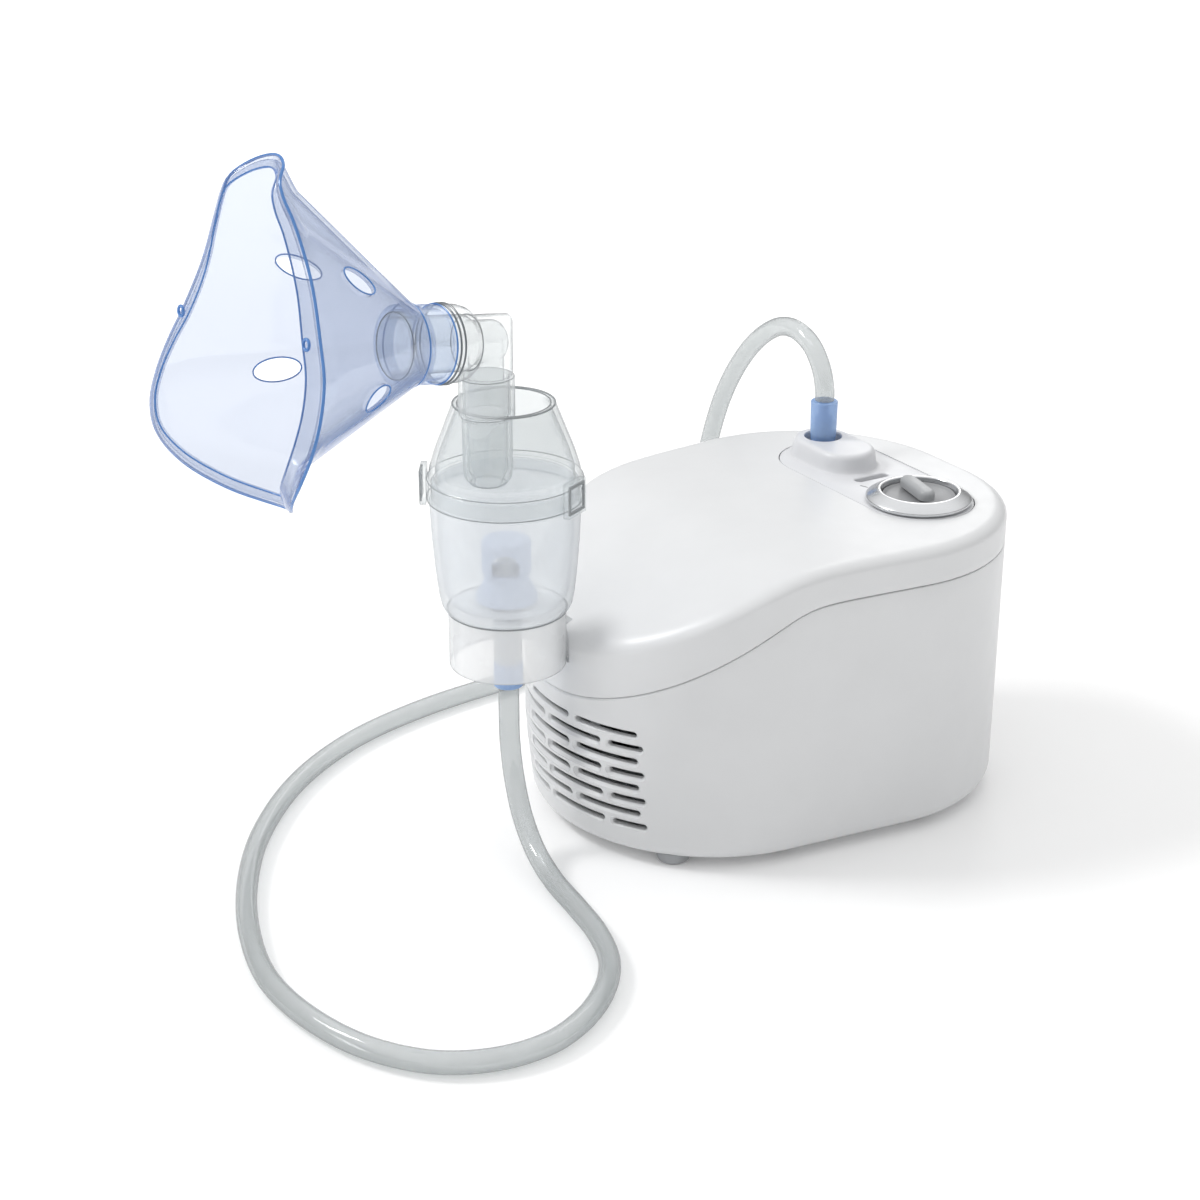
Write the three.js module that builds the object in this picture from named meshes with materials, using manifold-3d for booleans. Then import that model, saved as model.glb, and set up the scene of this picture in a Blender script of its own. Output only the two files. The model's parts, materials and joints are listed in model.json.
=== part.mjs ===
// Tabletop compressor nebulizer: piston compressor, air tube, nebulizer kit and face mask.
// Millimetres, +Z up, nose of the compressor towards -Y. Every piece is its own closed mesh.
import * as THREE from 'three';
import { mergeVertices } from 'three/addons/utils/BufferGeometryUtils.js';
import Module from 'manifold-3d';

const wasm = await Module();
wasm.setup();

// ---------------------------------------------------------------- driving dimensions
const GAP = 0.3;                    // assembly gap between neighbouring pieces
const WALL = 2.4;                   // housing wall

// Compressor outline: the hull of one nose circle and two back circles.
const NOSE = { y: -11.6, r: 57.2 };
const BACK = { x: 9, y: 31.9, r: 52.9 };
const SIDE_NORMAL = -6.2 * Math.PI / 180;   // where the side line leaves the back circle

const MIDDLE_Y = -3;                // where the rings on top of the cover shrink to

const BODY_BOTTOM = 3;
const TOP = { plateau: 97.3, slope: 0.56, kneeY: -20.8, knee: 7 };
const SEAM = { plateau: 85.6, slope: 0.6, kneeY: -14.9, knee: 4 };
const EDGE_ROUND = 5;               // width of the rounding round the top of the cover
const EDGE_DROP = 3.4;              // its height

const VENT = { rows: 8, top: 45.2, pitch: 4.55, height: 1.9, slot: 23, gap: 3, half: 38.5 };

const PANEL = { y: 50.45, left: -21.2, right: 25.5, r: 17.6, thick: 2.4 };
const DIAL = { x: 25.5, r: 17, dish: 11.6, pointer: 168 };
const LATCH = { x: 0.5, y: 50.6, half: 4.8, r: 1.7 };   // slot over the air filter
const OUTLET = { x: -26.7, podEnd: -14, podR: 10, podTop: 103.8, holeR: 6.2 };

const TUBE_R = 3.25;
const PLUG = { r: 4.5, length: 14.5, kitBottom: 54.8, collar: 7.5, machineBottom: 101.6 };

const KIT = { y: -85.5, skirtR: 17.9, skirtBottom: 62.8, floor: 81.4, collarBottom: 116.8, collarTop: 122.9 };
const CAP_TURN = 33 * Math.PI / 180;
const CHIMNEY = { out: 10.2, r: 7.3, bore: 5.9, bottom: 124, socket: 145, socketR: 8.25, top: 156.8 };
const SOCKET = { r: 4.3, bore: 3.3, bottom: 62.8, top: 71.5 };   // takes the tube's plug, under the cup
const RIM_TOP = 146;

const ADAPTER = { z: 166.8, r: 8, yaw: 7, pitch: 8, flange: 14.6, flangeR: 11.5, spigotR: 9.8, end: 31 };
const MASK = {
  roll: 5, neckStart: 17.3, neckEnd: 24.5, neckR: 11.3, wall: 1.2, flange: 0.88, collarEnd: 30.5,
};
const HEAD_TURN = 59;               // the arch through the vaporizer head, about the kit's axis

const SHAFT = { z: 33, r: 2.5, front: -27.6, back: 58 };
const CRANK_THROW = 3;

const rad = (degrees) => degrees * Math.PI / 180;

// ---------------------------------------------------------------- materials
const finish = (color, roughness, metalness = 0) =>
  new THREE.MeshStandardMaterial({ color, roughness, metalness });
const WHITE = finish(0xf0f0f1, 0.42);
const PANEL_WHITE = finish(0xececee, 0.4);
const SILVER = finish(0xb9bbbd, 0.3, 0.7);
const DARK_GREY = finish(0x8b8d8f, 0.5);
const LIGHT_GREY = finish(0xc6c8c9, 0.45);
const BLACK = finish(0x1c1d1f, 0.6);
const RUBBER = finish(0x8f9193, 0.85);
const STEEL = finish(0xa9adb2, 0.35, 0.9);
const CAST = finish(0xb5b8bb, 0.5, 0.8);
const COPPER = finish(0xb4683a, 0.4, 0.8);
const BRASS = finish(0xc2a14e, 0.3, 0.9);
const FROSTED = finish(0xdfe2e4, 0.5);
const CLEAR = finish(0xe6e9eb, 0.2);
const PALE_BLUE = finish(0xb7c6e2, 0.45);
const MASK_BLUE = finish(0xa9c0e4, 0.25);
const PLUG_BLUE = finish(0x6f9be0, 0.4);
const PVC = finish(0xdcdfe0, 0.25);
const FELT = finish(0xf4f2ec, 0.95);

// ---------------------------------------------------------------- geometry helpers
const v3 = (x, y, z) => new THREE.Vector3(x, y, z);

/** Closed mesh through rings of equal length. Ends are closed with fans, or joined end to end. */
function loft(rings, { loop = false } = {}) {
  const n = rings[0].length;
  const points = rings.flat();
  const index = [];
  const bands = loop ? rings.length : rings.length - 1;
  for (let i = 0; i < bands; i++) {
    const low = i * n;
    const high = ((i + 1) % rings.length) * n;
    for (let k = 0; k < n; k++) {
      const next = (k + 1) % n;
      index.push(low + k, low + next, high + next, low + k, high + next, high + k);
    }
  }
  if (!loop) {
    for (const [ring, flip] of [[0, true], [rings.length - 1, false]]) {
      const centre = rings[ring].reduce((sum, p) => sum.add(p), v3(0, 0, 0)).divideScalar(n);
      const c = points.push(centre) - 1;
      for (let k = 0; k < n; k++) {
        const a = ring * n + k;
        const b = ring * n + (k + 1) % n;
        index.push(c, flip ? b : a, flip ? a : b);
      }
    }
  }
  const geometry = new THREE.BufferGeometry().setFromPoints(points);
  geometry.setIndex(index);
  return geometry;
}

/** three.js geometry to manifold solid. */
function solid(geometry) {
  let plain = geometry.clone();
  for (const name of Object.keys(plain.attributes)) {
    if (name !== 'position') plain.deleteAttribute(name);
  }
  plain = mergeVertices(plain, 1e-4);
  return new wasm.Manifold(new wasm.Mesh({
    numProp: 3,
    vertProperties: new Float32Array(plain.attributes.position.array),
    triVerts: new Uint32Array(plain.index.array),
  }));
}

/** Manifold solid back to a three.js geometry. */
function shape(body) {
  const mesh = body.getMesh();
  const positions = new Float32Array(mesh.numVert * 3);
  for (let i = 0; i < mesh.numVert; i++) {
    for (let k = 0; k < 3; k++) positions[3 * i + k] = mesh.vertProperties[i * mesh.numProp + k];
  }
  const geometry = new THREE.BufferGeometry();
  geometry.setAttribute('position', new THREE.BufferAttribute(positions, 3));
  geometry.setIndex(new THREE.BufferAttribute(new Uint32Array(mesh.triVerts), 1));
  return geometry;
}

const join = (...geometries) => shape(geometries.map(solid).reduce((a, b) => a.add(b)));
const cut = (geometry, ...tools) => shape(tools.map(solid).reduce((a, b) => a.subtract(b), solid(geometry)));
const common = (a, b) => shape(solid(a).intersect(solid(b)));

/** Lathe about Z from [radius, z] pairs; a profile off the axis at both ends closes on itself. */
function turned(profile, segments = 32, closed = false) {
  const points = profile.map(([r, z]) => new THREE.Vector2(r, z));
  if (closed) points.push(points[0].clone());
  return new THREE.LatheGeometry(points, segments).rotateX(Math.PI / 2);
}

/** Upright cylinder between two heights. */
function post(x, y, z0, z1, r, segments = 16) {
  return new THREE.CylinderGeometry(r, r, z1 - z0, segments).rotateX(Math.PI / 2)
    .translate(x, y, (z0 + z1) / 2);
}

/** Cylinder along Y between two positions. */
function bar(x, z, y0, y1, r, segments = 20) {
  return new THREE.CylinderGeometry(r, r, y1 - y0, segments).translate(x, (y0 + y1) / 2, z);
}

/** Box between two corners. */
function block(x0, y0, z0, x1, y1, z1) {
  return new THREE.BoxGeometry(x1 - x0, y1 - y0, z1 - z0)
    .translate((x0 + x1) / 2, (y0 + y1) / 2, (z0 + z1) / 2);
}

/** Round bar swept along a smooth curve through the given points. */
function swept(points, r, sides, steps) {
  const section = new THREE.Shape(Array.from({ length: sides }, (_, k) => {
    const a = 2 * Math.PI * k / sides;
    return new THREE.Vector2(r * Math.cos(a), r * Math.sin(a));
  }));
  const curve = new THREE.CatmullRomCurve3(points.map((p) => v3(...p)), false, 'centripetal');
  return new THREE.ExtrudeGeometry(section, { steps, extrudePath: curve });
}

/** Stadium along X with ends at x0 and x1, as a ring of points at one height. */
function stadiumRing(x0, x1, y, r, z, steps = 8) {
  const ring = [];
  for (const [x, start] of [[x1, -90], [x0, 90]]) {
    for (let k = 0; k <= steps; k++) {
      const a = rad(start + 180 * k / steps);
      ring.push(v3(x + r * Math.cos(a), y + r * Math.sin(a), z));
    }
  }
  return ring;
}

const stadium = (x0, x1, y, r, z0, z1) =>
  loft([stadiumRing(x0, x1, y, r, z0), stadiumRing(x0, x1, y, r, z1)]);

// ---------------------------------------------------------------- housing surfaces
/** Height that climbs from the nose and levels out on a plateau. */
function ramp(y, { plateau, slope, kneeY, knee }) {
  return plateau - slope * knee * Math.log1p(Math.exp((kneeY - y) / knee));
}

const FINE = { arc: 6, side: 3, nose: 14 };
const COARSE = { arc: 3, side: 2, nose: 8 };

/** Outline of the compressor, moved inwards by inset, with its nose pushed forwards. */
function outline(inset, push, detail) {
  const points = [];
  const arc = (cx, cy, r, from, to, steps) => {
    for (let k = 0; k <= steps; k++) {
      const a = from + (to - from) * k / steps;
      points.push([cx + (r - inset) * Math.cos(a), cy + (r - inset) * Math.sin(a)]);
    }
  };
  const line = (steps) => {
    const marker = points.length;
    return () => {
      const a = points[marker - 1];
      const b = points[marker % points.length];
      const between = [];
      for (let k = 1; k < steps; k++) {
        between.push([a[0] + (b[0] - a[0]) * k / steps, a[1] + (b[1] - a[1]) * k / steps]);
      }
      points.splice(marker, 0, ...between);
    };
  };
  const quarter = Math.PI / 2;
  arc(BACK.x, BACK.y, BACK.r, SIDE_NORMAL, quarter, detail.arc);
  arc(-BACK.x, BACK.y, BACK.r, quarter, Math.PI - SIDE_NORMAL, detail.arc);
  const left = line(detail.side);
  arc(0, NOSE.y - push, NOSE.r, Math.PI - SIDE_NORMAL, 2 * Math.PI + SIDE_NORMAL, detail.nose);
  const right = line(detail.side);
  right();
  left();
  return points;
}

/** Forward bulge of the nose at a height: none at the floor, most at mid height. */
const nosePush = (z) => 3 * Math.sin(Math.PI * THREE.MathUtils.clamp((z - 2) / 110, 0, 1));

const ringAt = (inset, height, pushZ, detail = FINE) =>
  outline(inset, nosePush(pushZ), detail).map(([x, y]) => v3(x, y, height(y)));

const seamZ = (y) => ramp(y, SEAM);
const topZ = (y) => ramp(y, TOP);
const flat = (z) => () => z;
const SEAM_PUSH = 70;               // heights at which the seam and the top take their forward bulge
const TOP_PUSH = 86;

/** Skin of the lower housing, from the floor up to a height above the seam. */
function lowerRings(extra, floor, rise, detail) {
  const rings = [[5, 0], [2.4, 0.8], [0.8, 2.4], [0, 5]].map(([inset, up]) =>
    ringAt(inset + extra, flat(floor + up), floor + up, detail));
  for (const share of [0.4, 0.75]) {
    const z = (y) => floor + 5 + (seamZ(y) - floor - 5) * share;
    rings.push(ringAt(extra, z, z(0), detail));
  }
  rings.push(ringAt(extra, (y) => seamZ(y) + rise, SEAM_PUSH, detail));
  return rings;
}

/** Skin of the cover from near the seam over the rounding to the middle of the top. */
function coverRings(extra, sink, start, roundSteps, insets, detail) {
  const rings = [ringAt(extra, (y) => seamZ(y) + start, SEAM_PUSH, detail)];
  for (const step of roundSteps) {
    const inset = EDGE_ROUND * (1 - Math.cos(rad(step)));
    const drop = EDGE_DROP * (1 - Math.sin(rad(step)));
    rings.push(ringAt(extra + inset, (y) => topZ(y) - drop - sink, TOP_PUSH, detail));
  }
  for (const inset of insets) {
    rings.push(ringAt(extra + inset, (y) => topZ(y) - sink, TOP_PUSH, detail));
  }
  const innermost = rings[rings.length - 1];
  for (const share of [0.72, 0.45, 0.18]) {
    rings.push(innermost.map((p) => {
      const y = MIDDLE_Y + (p.y - MIDDLE_Y) * share;
      return v3(p.x * share, y, topZ(y) - sink);
    }));
  }
  return rings;
}

// ---------------------------------------------------------------- compressor shells
const POSTS = [[-46, -16], [46, -16], [-51, 34], [51, 34]];
const FEET = [[-35, -47], [35, -47], [-46, 53], [46, 53]];
const POST_JOINT = 30;              // height where housing bosses meet the cover's posts

/** One vent slot: a stadium in angle and height, carried radially through the nose wall. */
function ventSlot(from, to, z) {
  const cy = NOSE.y - nosePush(z);
  const end = VENT.height / 2 / NOSE.r;
  const steps = Math.max(1, Math.round((to - from) / rad(14)));
  const profile = [];
  const along = (k) => from + end + (to - from - 2 * end) * k / steps;
  for (let k = 0; k <= steps; k++) profile.push([along(k), -VENT.height / 2]);
  profile.push([to, 0]);
  for (let k = steps; k >= 0; k--) profile.push([along(k), VENT.height / 2]);
  profile.push([from, 0]);
  const ring = (r) => profile.map(([a, dz]) => v3(r * Math.sin(a), cy - r * Math.cos(a), z + dz));
  return loft([ring(NOSE.r - 8), ring(NOSE.r + 6)]);
}

function ventSlots() {
  const slots = [];
  const half = rad(VENT.half);
  const slot = VENT.slot / NOSE.r;
  const gap = VENT.gap / NOSE.r;
  for (let row = 0; row < VENT.rows; row++) {
    const z = VENT.top - row * VENT.pitch;
    let from = -half;
    let length = row % 2 ? (slot - gap) / 2 : slot;
    while (from < half - rad(3)) {
      const to = Math.min(from + length, half);
      slots.push(ventSlot(from, to, z));
      from = to + gap;
      length = slot;
    }
  }
  return slots;
}

function lowerHousing() {
  const outer = loft([...lowerRings(0, BODY_BOTTOM, -0.5, FINE), ringAt(0.5, seamZ, SEAM_PUSH)]);
  const inner = loft(lowerRings(WALL, BODY_BOTTOM + WALL, 20, COARSE));
  const shell = cut(outer, inner);
  const bosses = POSTS.map(([x, y]) => post(x, y, BODY_BOTTOM + 1, POST_JOINT, 5, 12));
  const mountPegs = MOUNTS.map(([x, y]) => post(x, y, BODY_BOTTOM + 1, MOUNT_TOP + 1.5, 2, 8));
  const holes = POSTS.flatMap(([x, y]) => [
    post(x, y, 0, 16, 3.5, 12),
    post(x, y, 0, POST_JOINT + 1, 1.9, 8),
  ]);
  const footPockets = FEET.map(([x, y]) => post(x, y, 0, BODY_BOTTOM + 1.2, 5.8, 16));
  const inlet = block(-11.4, 70, INLET.z - 7, 11.4, 95, INLET.z + 7);
  return cut(join(shell, ...bosses, ...mountPegs), ...holes, ...footPockets, inlet, ...ventSlots());
}

const POCKET_R = KIT.skirtR + 0.7;  // pocket in the nose that takes the kit's skirt
const RAIL = { neck: 1.2, head: 2.4, y: KIT.y + KIT.skirtR, neckDepth: 1.6, depth: 3, top: 70.6 };

/** T-shaped rail section in plan, grown by a clearance, between two heights. */
function rail(clearance, z0, z1) {
  const y = RAIL.y - 1;
  return join(
    block(-RAIL.neck - clearance, y, z0, RAIL.neck + clearance, RAIL.y + RAIL.neckDepth + clearance, z1),
    block(
      -RAIL.head - clearance, RAIL.y + RAIL.neckDepth - clearance, z0,
      RAIL.head + clearance, RAIL.y + RAIL.depth + clearance, z1,
    ),
  );
}

function topCover() {
  const start = ringAt(0.5, (y) => seamZ(y) + GAP, SEAM_PUSH);
  const filled = loft([start, ...coverRings(0, 0, GAP + 0.5, [0, 30, 60, 90], [12, 21, 32], FINE)]);
  const inner = loft(coverRings(WALL, WALL + 0.2, -20, [0, 90], [14, 31], COARSE));
  const shell = cut(filled, inner);
  const pad = common(filled, join(
    post(0, KIT.y, 40, 110, POCKET_R + WALL, 28),
    block(-7, KIT.y + POCKET_R - 2, 40, 7, KIT.y + POCKET_R + 8, 110),
  ));
  const posts = POSTS.map(([x, y]) => post(x, y, POST_JOINT + GAP, topZ(y - 4) - 1.2, 4, 12));
  const pilots = POSTS.map(([x, y]) => post(x, y, POST_JOINT - 1, POST_JOINT + 16, 1.9, 8));
  const window = stadium(PANEL.left, PANEL.right, PANEL.y, PANEL.r + GAP, 85, 110);
  const pocket = post(0, KIT.y, KIT.skirtBottom - GAP, 110, POCKET_R, 28);
  return cut(join(shell, pad, ...posts), ...pilots, window, pocket, rail(0.4, KIT.skirtBottom - GAP, 110));
}

const foot = (x, y) => turned([[0, 0], [4.6, 0], [5.2, 0.6], [5.4, 3.9], [0, 3.9]], 16).translate(x, y, 0);

const housingScrew = (x, y) => turned([
  [0, 11.6], [3, 11.6], [3, 13.2], [2.6, 15.6], [1.6, 15.6], [1.6, 44], [0, 45.4],
], 8).translate(x, y, 0);

// ---------------------------------------------------------------- control panel and dial
function controlPanel() {
  const top = TOP.plateau;
  const plate = stadium(PANEL.left, PANEL.right, PANEL.y, PANEL.r, top - PANEL.thick, top);
  const flangeTop = top - WALL - 0.2 - GAP;
  const flange = stadium(PANEL.left + 2, PANEL.right, PANEL.y, PANEL.r + 1.2, flangeTop - 1.8, flangeTop);
  const neck = stadium(PANEL.left, PANEL.right, PANEL.y, PANEL.r - 0.2, flangeTop - 1, top - 1);
  const pod = loft([
    [1.6, top - 1], [1.6, top], [0.5, top + 0.9], [0.1, top + 2.2], [-0.3, OUTLET.podTop - 1.2],
    [-0.8, OUTLET.podTop - 0.4], [-1.8, OUTLET.podTop],
  ].map(([grow, z]) => stadiumRing(OUTLET.x, OUTLET.podEnd, PANEL.y, OUTLET.podR + grow, z)));
  const nozzleHole = post(OUTLET.x, PANEL.y, 85, 110, OUTLET.holeR, 20);
  const dialHole = post(DIAL.x, PANEL.y, 85, 110, 4.5, 16);
  const slot = stadium(-LATCH.half, LATCH.half, 0, LATCH.r, 85, 110).rotateZ(Math.PI / 2)
    .translate(LATCH.x, LATCH.y, 0);
  return cut(join(plate, neck, flange, pod), nozzleHole, dialHole, slot);
}

const outletNozzle = () => turned([
  [1.2, 89.4], [8, 89.4], [8, 92.3], [3.4, 92.3], [3.4, 97], [2.5, 98], [2.2, 108], [1.2, 108],
], 14, true).translate(OUTLET.x, PANEL.y, 0);

const dialRing = () => turned([
  [DIAL.dish + 0.3, 97.7], [DIAL.r - 0.6, 97.7], [DIAL.r, 98.2], [DIAL.r, 98.9], [DIAL.r - 0.9, 99.5],
  [DIAL.dish + 1.3, 101.2], [DIAL.dish + 0.6, 101], [DIAL.dish + 0.3, 100],
], 28, true).translate(DIAL.x, PANEL.y, 0);

const dialKnob = () => turned([
  [0, 90], [3, 90], [3.8, 91], [3.8, 97.6], [DIAL.dish, 97.7], [DIAL.dish, 99.6], [10.4, 98.9],
  [6, 98.5], [0, 98.4],
], 28).translate(DIAL.x, PANEL.y, 0);

/** Finger bar that stands on the dish, from the ring's edge past the middle. */
function dialGrip() {
  const rings = [[2.6, 99.6], [2.7, 101.2], [2.3, 102.3], [1.5, 102.8]].map(([r, z]) =>
    stadiumRing(-5.2, 7.6, 0, r, z, 5));
  return loft(rings).rotateZ(rad(DIAL.pointer)).translate(DIAL.x, PANEL.y, 0);
}

const rotarySwitch = () => join(
  block(-12, -12, 70, 12, 12, 84),
  post(0, 0, 83, 89.4, 5, 20),
).translate(DIAL.x, PANEL.y, 0);

const filterHolder = () => cut(
  block(-6, -10, 80, 6, 10, 92),
  block(-4.4, -8.4, 81.6, 4.4, 8.4, 93),
).translate(LATCH.x, LATCH.y, 0);

const filterPad = () => block(-4, -8, 82, 4, 8, 88).translate(LATCH.x, LATCH.y, 0);

// ---------------------------------------------------------------- mains inlet
const INLET = { z: 22, y: 84.4 };

function mainsInlet() {
  const body = block(-11, 66, INLET.z - 6.6, 11, INLET.y, INLET.z + 6.6);
  const cavity = stadium(-4.3, 4.3, 0, 4.1, -30, 30).rotateX(Math.PI / 2).translate(0, 102, INLET.z);
  return cut(body, cavity);
}

const inletPin = (side) => bar(side * 4.3, INLET.z, 72.3, 81.5, 1.2, 12);

// ---------------------------------------------------------------- motor and pump
const MOUNTS = [[-27, -30], [27, -30], [-27, 40], [27, 40]];
const MOUNT_TOP = 11;

const chassisPlate = () => cut(
  block(-32, -48, MOUNT_TOP, 32, 45.5, MOUNT_TOP + 2),
  ...MOUNTS.map(([x, y]) => post(x, y, 0, 30, 3.5, 10)),
);

const rubberMount = (x, y) => turned([
  [2.3, 6], [5.5, 6], [5.5, 10.7], [3.2, 10.7], [3.2, 13.3], [5.5, 13.3], [5.5, 16], [2.3, 16],
], 10, true).translate(x, y, 0);

function bracket(y0) {
  const plate = block(-21, y0, MOUNT_TOP + 2 + GAP, 21, y0 + 2, SHAFT.z + 14);
  return cut(plate, bar(0, SHAFT.z, y0 - 1, y0 + 3, 8.3, 16));
}

const bearing = (y0) => turned([[SHAFT.r + GAP, 0], [8, 0], [8, 5], [SHAFT.r + GAP, 5]], 16, true)
  .rotateX(-Math.PI / 2).translate(0, y0, SHAFT.z);

function statorCore() {
  const core = block(-24, 4, 16, 24, 34, 68);
  return cut(core, bar(0, SHAFT.z, 0, 40, 13.4, 20), block(-13, 0, 49, 13, 40, 60));
}

const motorCoil = () => cut(
  block(-12.5, -1, 46.4, 12.5, 39, 78),
  block(-30, 3.6, 60 - GAP, 30, 34.4, 68 + GAP),
  block(-14, 3.6, 40, 14, 34.4, 49 + GAP),
);

const rotor = () => turned([[SHAFT.r + GAP, 0], [12.6, 0], [12.6, 32], [SHAFT.r + GAP, 32]], 18, true)
  .rotateX(-Math.PI / 2).translate(0, 3, SHAFT.z);

const motorShaft = () => bar(0, SHAFT.z, SHAFT.front, SHAFT.back, SHAFT.r, 12);

function coolingFan() {
  const hub = bar(0, SHAFT.z, SHAFT.back - 10, SHAFT.back - 2, 7, 14);
  const blades = Array.from({ length: 7 }, (_, k) => block(-0.8, -4, 5, 0.8, 4, 25)
    .rotateZ(rad(35)).rotateY(2 * Math.PI * k / 7).translate(0, SHAFT.back - 6, SHAFT.z));
  return cut(join(hub, ...blades), bar(0, SHAFT.z, 0, 80, SHAFT.r + GAP, 12));
}

/** Counterweight disc on the shaft with the crank pin, at the bottom of its turn. */
function crankDisc() {
  const disc = bar(0, SHAFT.z, -29, -22, 11, 18);
  const pin = bar(0, SHAFT.z - CRANK_THROW, -40, -28.2, 2.5, 10);
  return join(cut(disc, bar(0, SHAFT.z, -35, 0, SHAFT.r + GAP, 12)), pin);
}

/** Piston, rod and big-end ring in one piece; the ring's bore clears the pin's whole circle. */
function pistonRod() {
  const ring = bar(0, SHAFT.z - CRANK_THROW, -39, -34.4, 12.5, 18);
  const rod = block(-3, -39, SHAFT.z + 6, 3, -34.4, 62);
  const head = post(0, -36.7, 61, 66, 10.5, 20);
  return cut(join(ring, rod, head), bar(0, SHAFT.z - CRANK_THROW, -45, -30, 9, 18));
}

const pumpCylinder = () => turned([[11, 56], [14, 56], [14, 72], [11, 72]], 20, true).translate(0, -36.7, 0);

function cylinderHead() {
  const top = turned([[0, 72.3], [14, 72.3], [14, 75], [9, 77.5], [0, 77.5]], 20).translate(0, -36.7, 0);
  const port = new THREE.CylinderGeometry(2.6, 2.6, 8, 10).translate(0, -22.7, 75);
  return join(top, port);
}

const pumpStand = () => cut(
  block(-18, -46, MOUNT_TOP + 2 + GAP, 18, -42.6, 70),
  bar(0, SHAFT.z, -50, -40, 13.5, 16),
  post(0, -36.7, 55.7, 90, 14.5, 20),
);

// ---------------------------------------------------------------- nebulizer kit, about the kit's axis
function medicineCup() {
  const body = turned([
    [SOCKET.bore, SOCKET.bottom], [SOCKET.r, SOCKET.bottom], [SOCKET.r + 0.1, 79.6], [16.3, 79.6],
    [16.3, KIT.skirtBottom], [KIT.skirtR, KIT.skirtBottom],
    [KIT.skirtR, 80.8], [18.8, KIT.floor], [19.7, 82.8], [20.4, 86], [21.2, 93], [22.1, 104], [22.8, 116.3],
    [21.7, 116.5], [21.7, 121.4], [20.2, 121.4], [20.2, 104], [19.4, 93], [18.6, 86.5], [16.6, 83.4],
    [7, 82.6], [2.6, 97], [1.2, 97], [1.2, SOCKET.top], [SOCKET.bore, SOCKET.top],
  ], 22, true);
  return join(body, rail(0, KIT.skirtBottom, RAIL.top).translate(0, -KIT.y, 0));
}

function vaporizerHead() {
  const body = turned([
    [0, 100.4], [4.9, 100.4], [4.9, 91.5], [8.2, 84.4], [8.2, 83.6], [9.6, 83.6], [9.2, 85.4], [6.4, 91],
    [7.5, 92.5], [7.5, 102.3], [6.8, 103], [0, 103],
  ], 18);
  const arch = join(
    block(-4.2, -9, 92.8, 4.2, 9, 96),
    new THREE.CylinderGeometry(4.2, 4.2, 18, 16).translate(0, 0, 96),
  );
  return cut(body, arch.rotateZ(rad(HEAD_TURN)));
}

/** Cap: collar over the cup, cone with the air opening, and the mist chimney inside its front. */
function inhalationCap() {
  const outer = turned([
    [0, KIT.collarBottom], [23.5, KIT.collarBottom], [23.5, KIT.collarTop], [22.7, KIT.collarTop + 0.3],
    [22.3, 126], [20.8, 131], [15.5, 145.2], [15.2, RIM_TOP], [0, RIM_TOP],
  ], 24);
  const inner = turned([
    [0, KIT.collarBottom - 1], [22, KIT.collarBottom - 1], [22, 121.8], [20.7, 122.2], [20.6, 126],
    [19.2, 131], [13.8, 145.2], [13.6, RIM_TOP + 1], [0, RIM_TOP + 1],
  ], 24);
  const { out, r, bore, bottom, socket, socketR, top } = CHIMNEY;
  const tube = turned([
    [0, bottom], [4.6, bottom], [6.6, bottom + 1.6], [r, bottom + 4.5], [r, socket - 1], [socketR, socket],
    [socketR, top], [0, top],
  ], 18).translate(0, -out, 0);
  const hollow = turned([
    [0, bottom - 2], [bore - 1.6, bottom - 2], [bore - 1.4, bottom + 1.6], [bore, bottom + 4.5], [bore, socket],
    [6.9, socket + 0.5], [6.9, top + 1], [0, top + 1],
  ], 18).translate(0, -out, 0);
  const tabs = [rad(-5), rad(206)].map((turn) => block(23.1, -5, 115.4, 25.2, 5, 126).rotateZ(turn));
  const shell = cut(join(outer, ...tabs), inner);
  return cut(join(shell, tube), hollow);
}

/** Frame of the adapter's arm: +Z along it towards the mask, +X to the side, +Y up. */
function armFrame() {
  const yaw = rad(ADAPTER.yaw);
  const pitch = rad(ADAPTER.pitch);
  const outwards = v3(Math.sin(yaw) * Math.cos(pitch), -Math.cos(yaw) * Math.cos(pitch), Math.sin(pitch));
  const sideways = v3(Math.cos(yaw), Math.sin(yaw), 0);
  const upwards = outwards.clone().cross(sideways);
  return new THREE.Matrix4().makeBasis(sideways, upwards, outwards).setPosition(0, 0, ADAPTER.z);
}

const alongArm = (geometry) => geometry.applyMatrix4(armFrame());

/** Right-angle adapter about the chimney's axis; its arm leans up towards the mask. */
function angleAdapter() {
  const { r, flange, flangeR, spigotR, end, z } = ADAPTER;
  const riser = turned([
    [0, 146], [6.4, 146], [6.6, CHIMNEY.top + GAP], [7.8, CHIMNEY.top + GAP], [7.8, z], [0, z],
  ], 18);
  const arm = alongArm(turned([
    [0, -0.5], [r, -0.5], [r, 6.4], [9.4, 7.2], [10.6, 9], [11.2, 11.5], [11.3, flange - 0.3],
    [flangeR, flange], [flangeR, flange + 1.8], [spigotR, flange + 1.8], [spigotR - 0.3, end], [0, end],
  ], 22));
  const corner = common(
    alongArm(turned([[0, -12], [r, -12], [r, 0.5], [0, 0.5]], 22)),
    turned([[0, z - 12], [7.8, z - 12], [7.8, z + 12], [0, z + 12]], 18),
  );
  const riserBore = turned([[0, 145], [5.2, 145], [5.2, z], [0, z]], 16);
  const armBore = alongArm(turned([
    [0, -5], [4.4, -5], [6, -3.4], [6.4, -2], [6.4, 5.4], [8.2, 8.4], [8.2, end + 1], [0, end + 1],
  ], 20));
  return cut(join(riser, arm, corner), riserBore, armBore);
}

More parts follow.
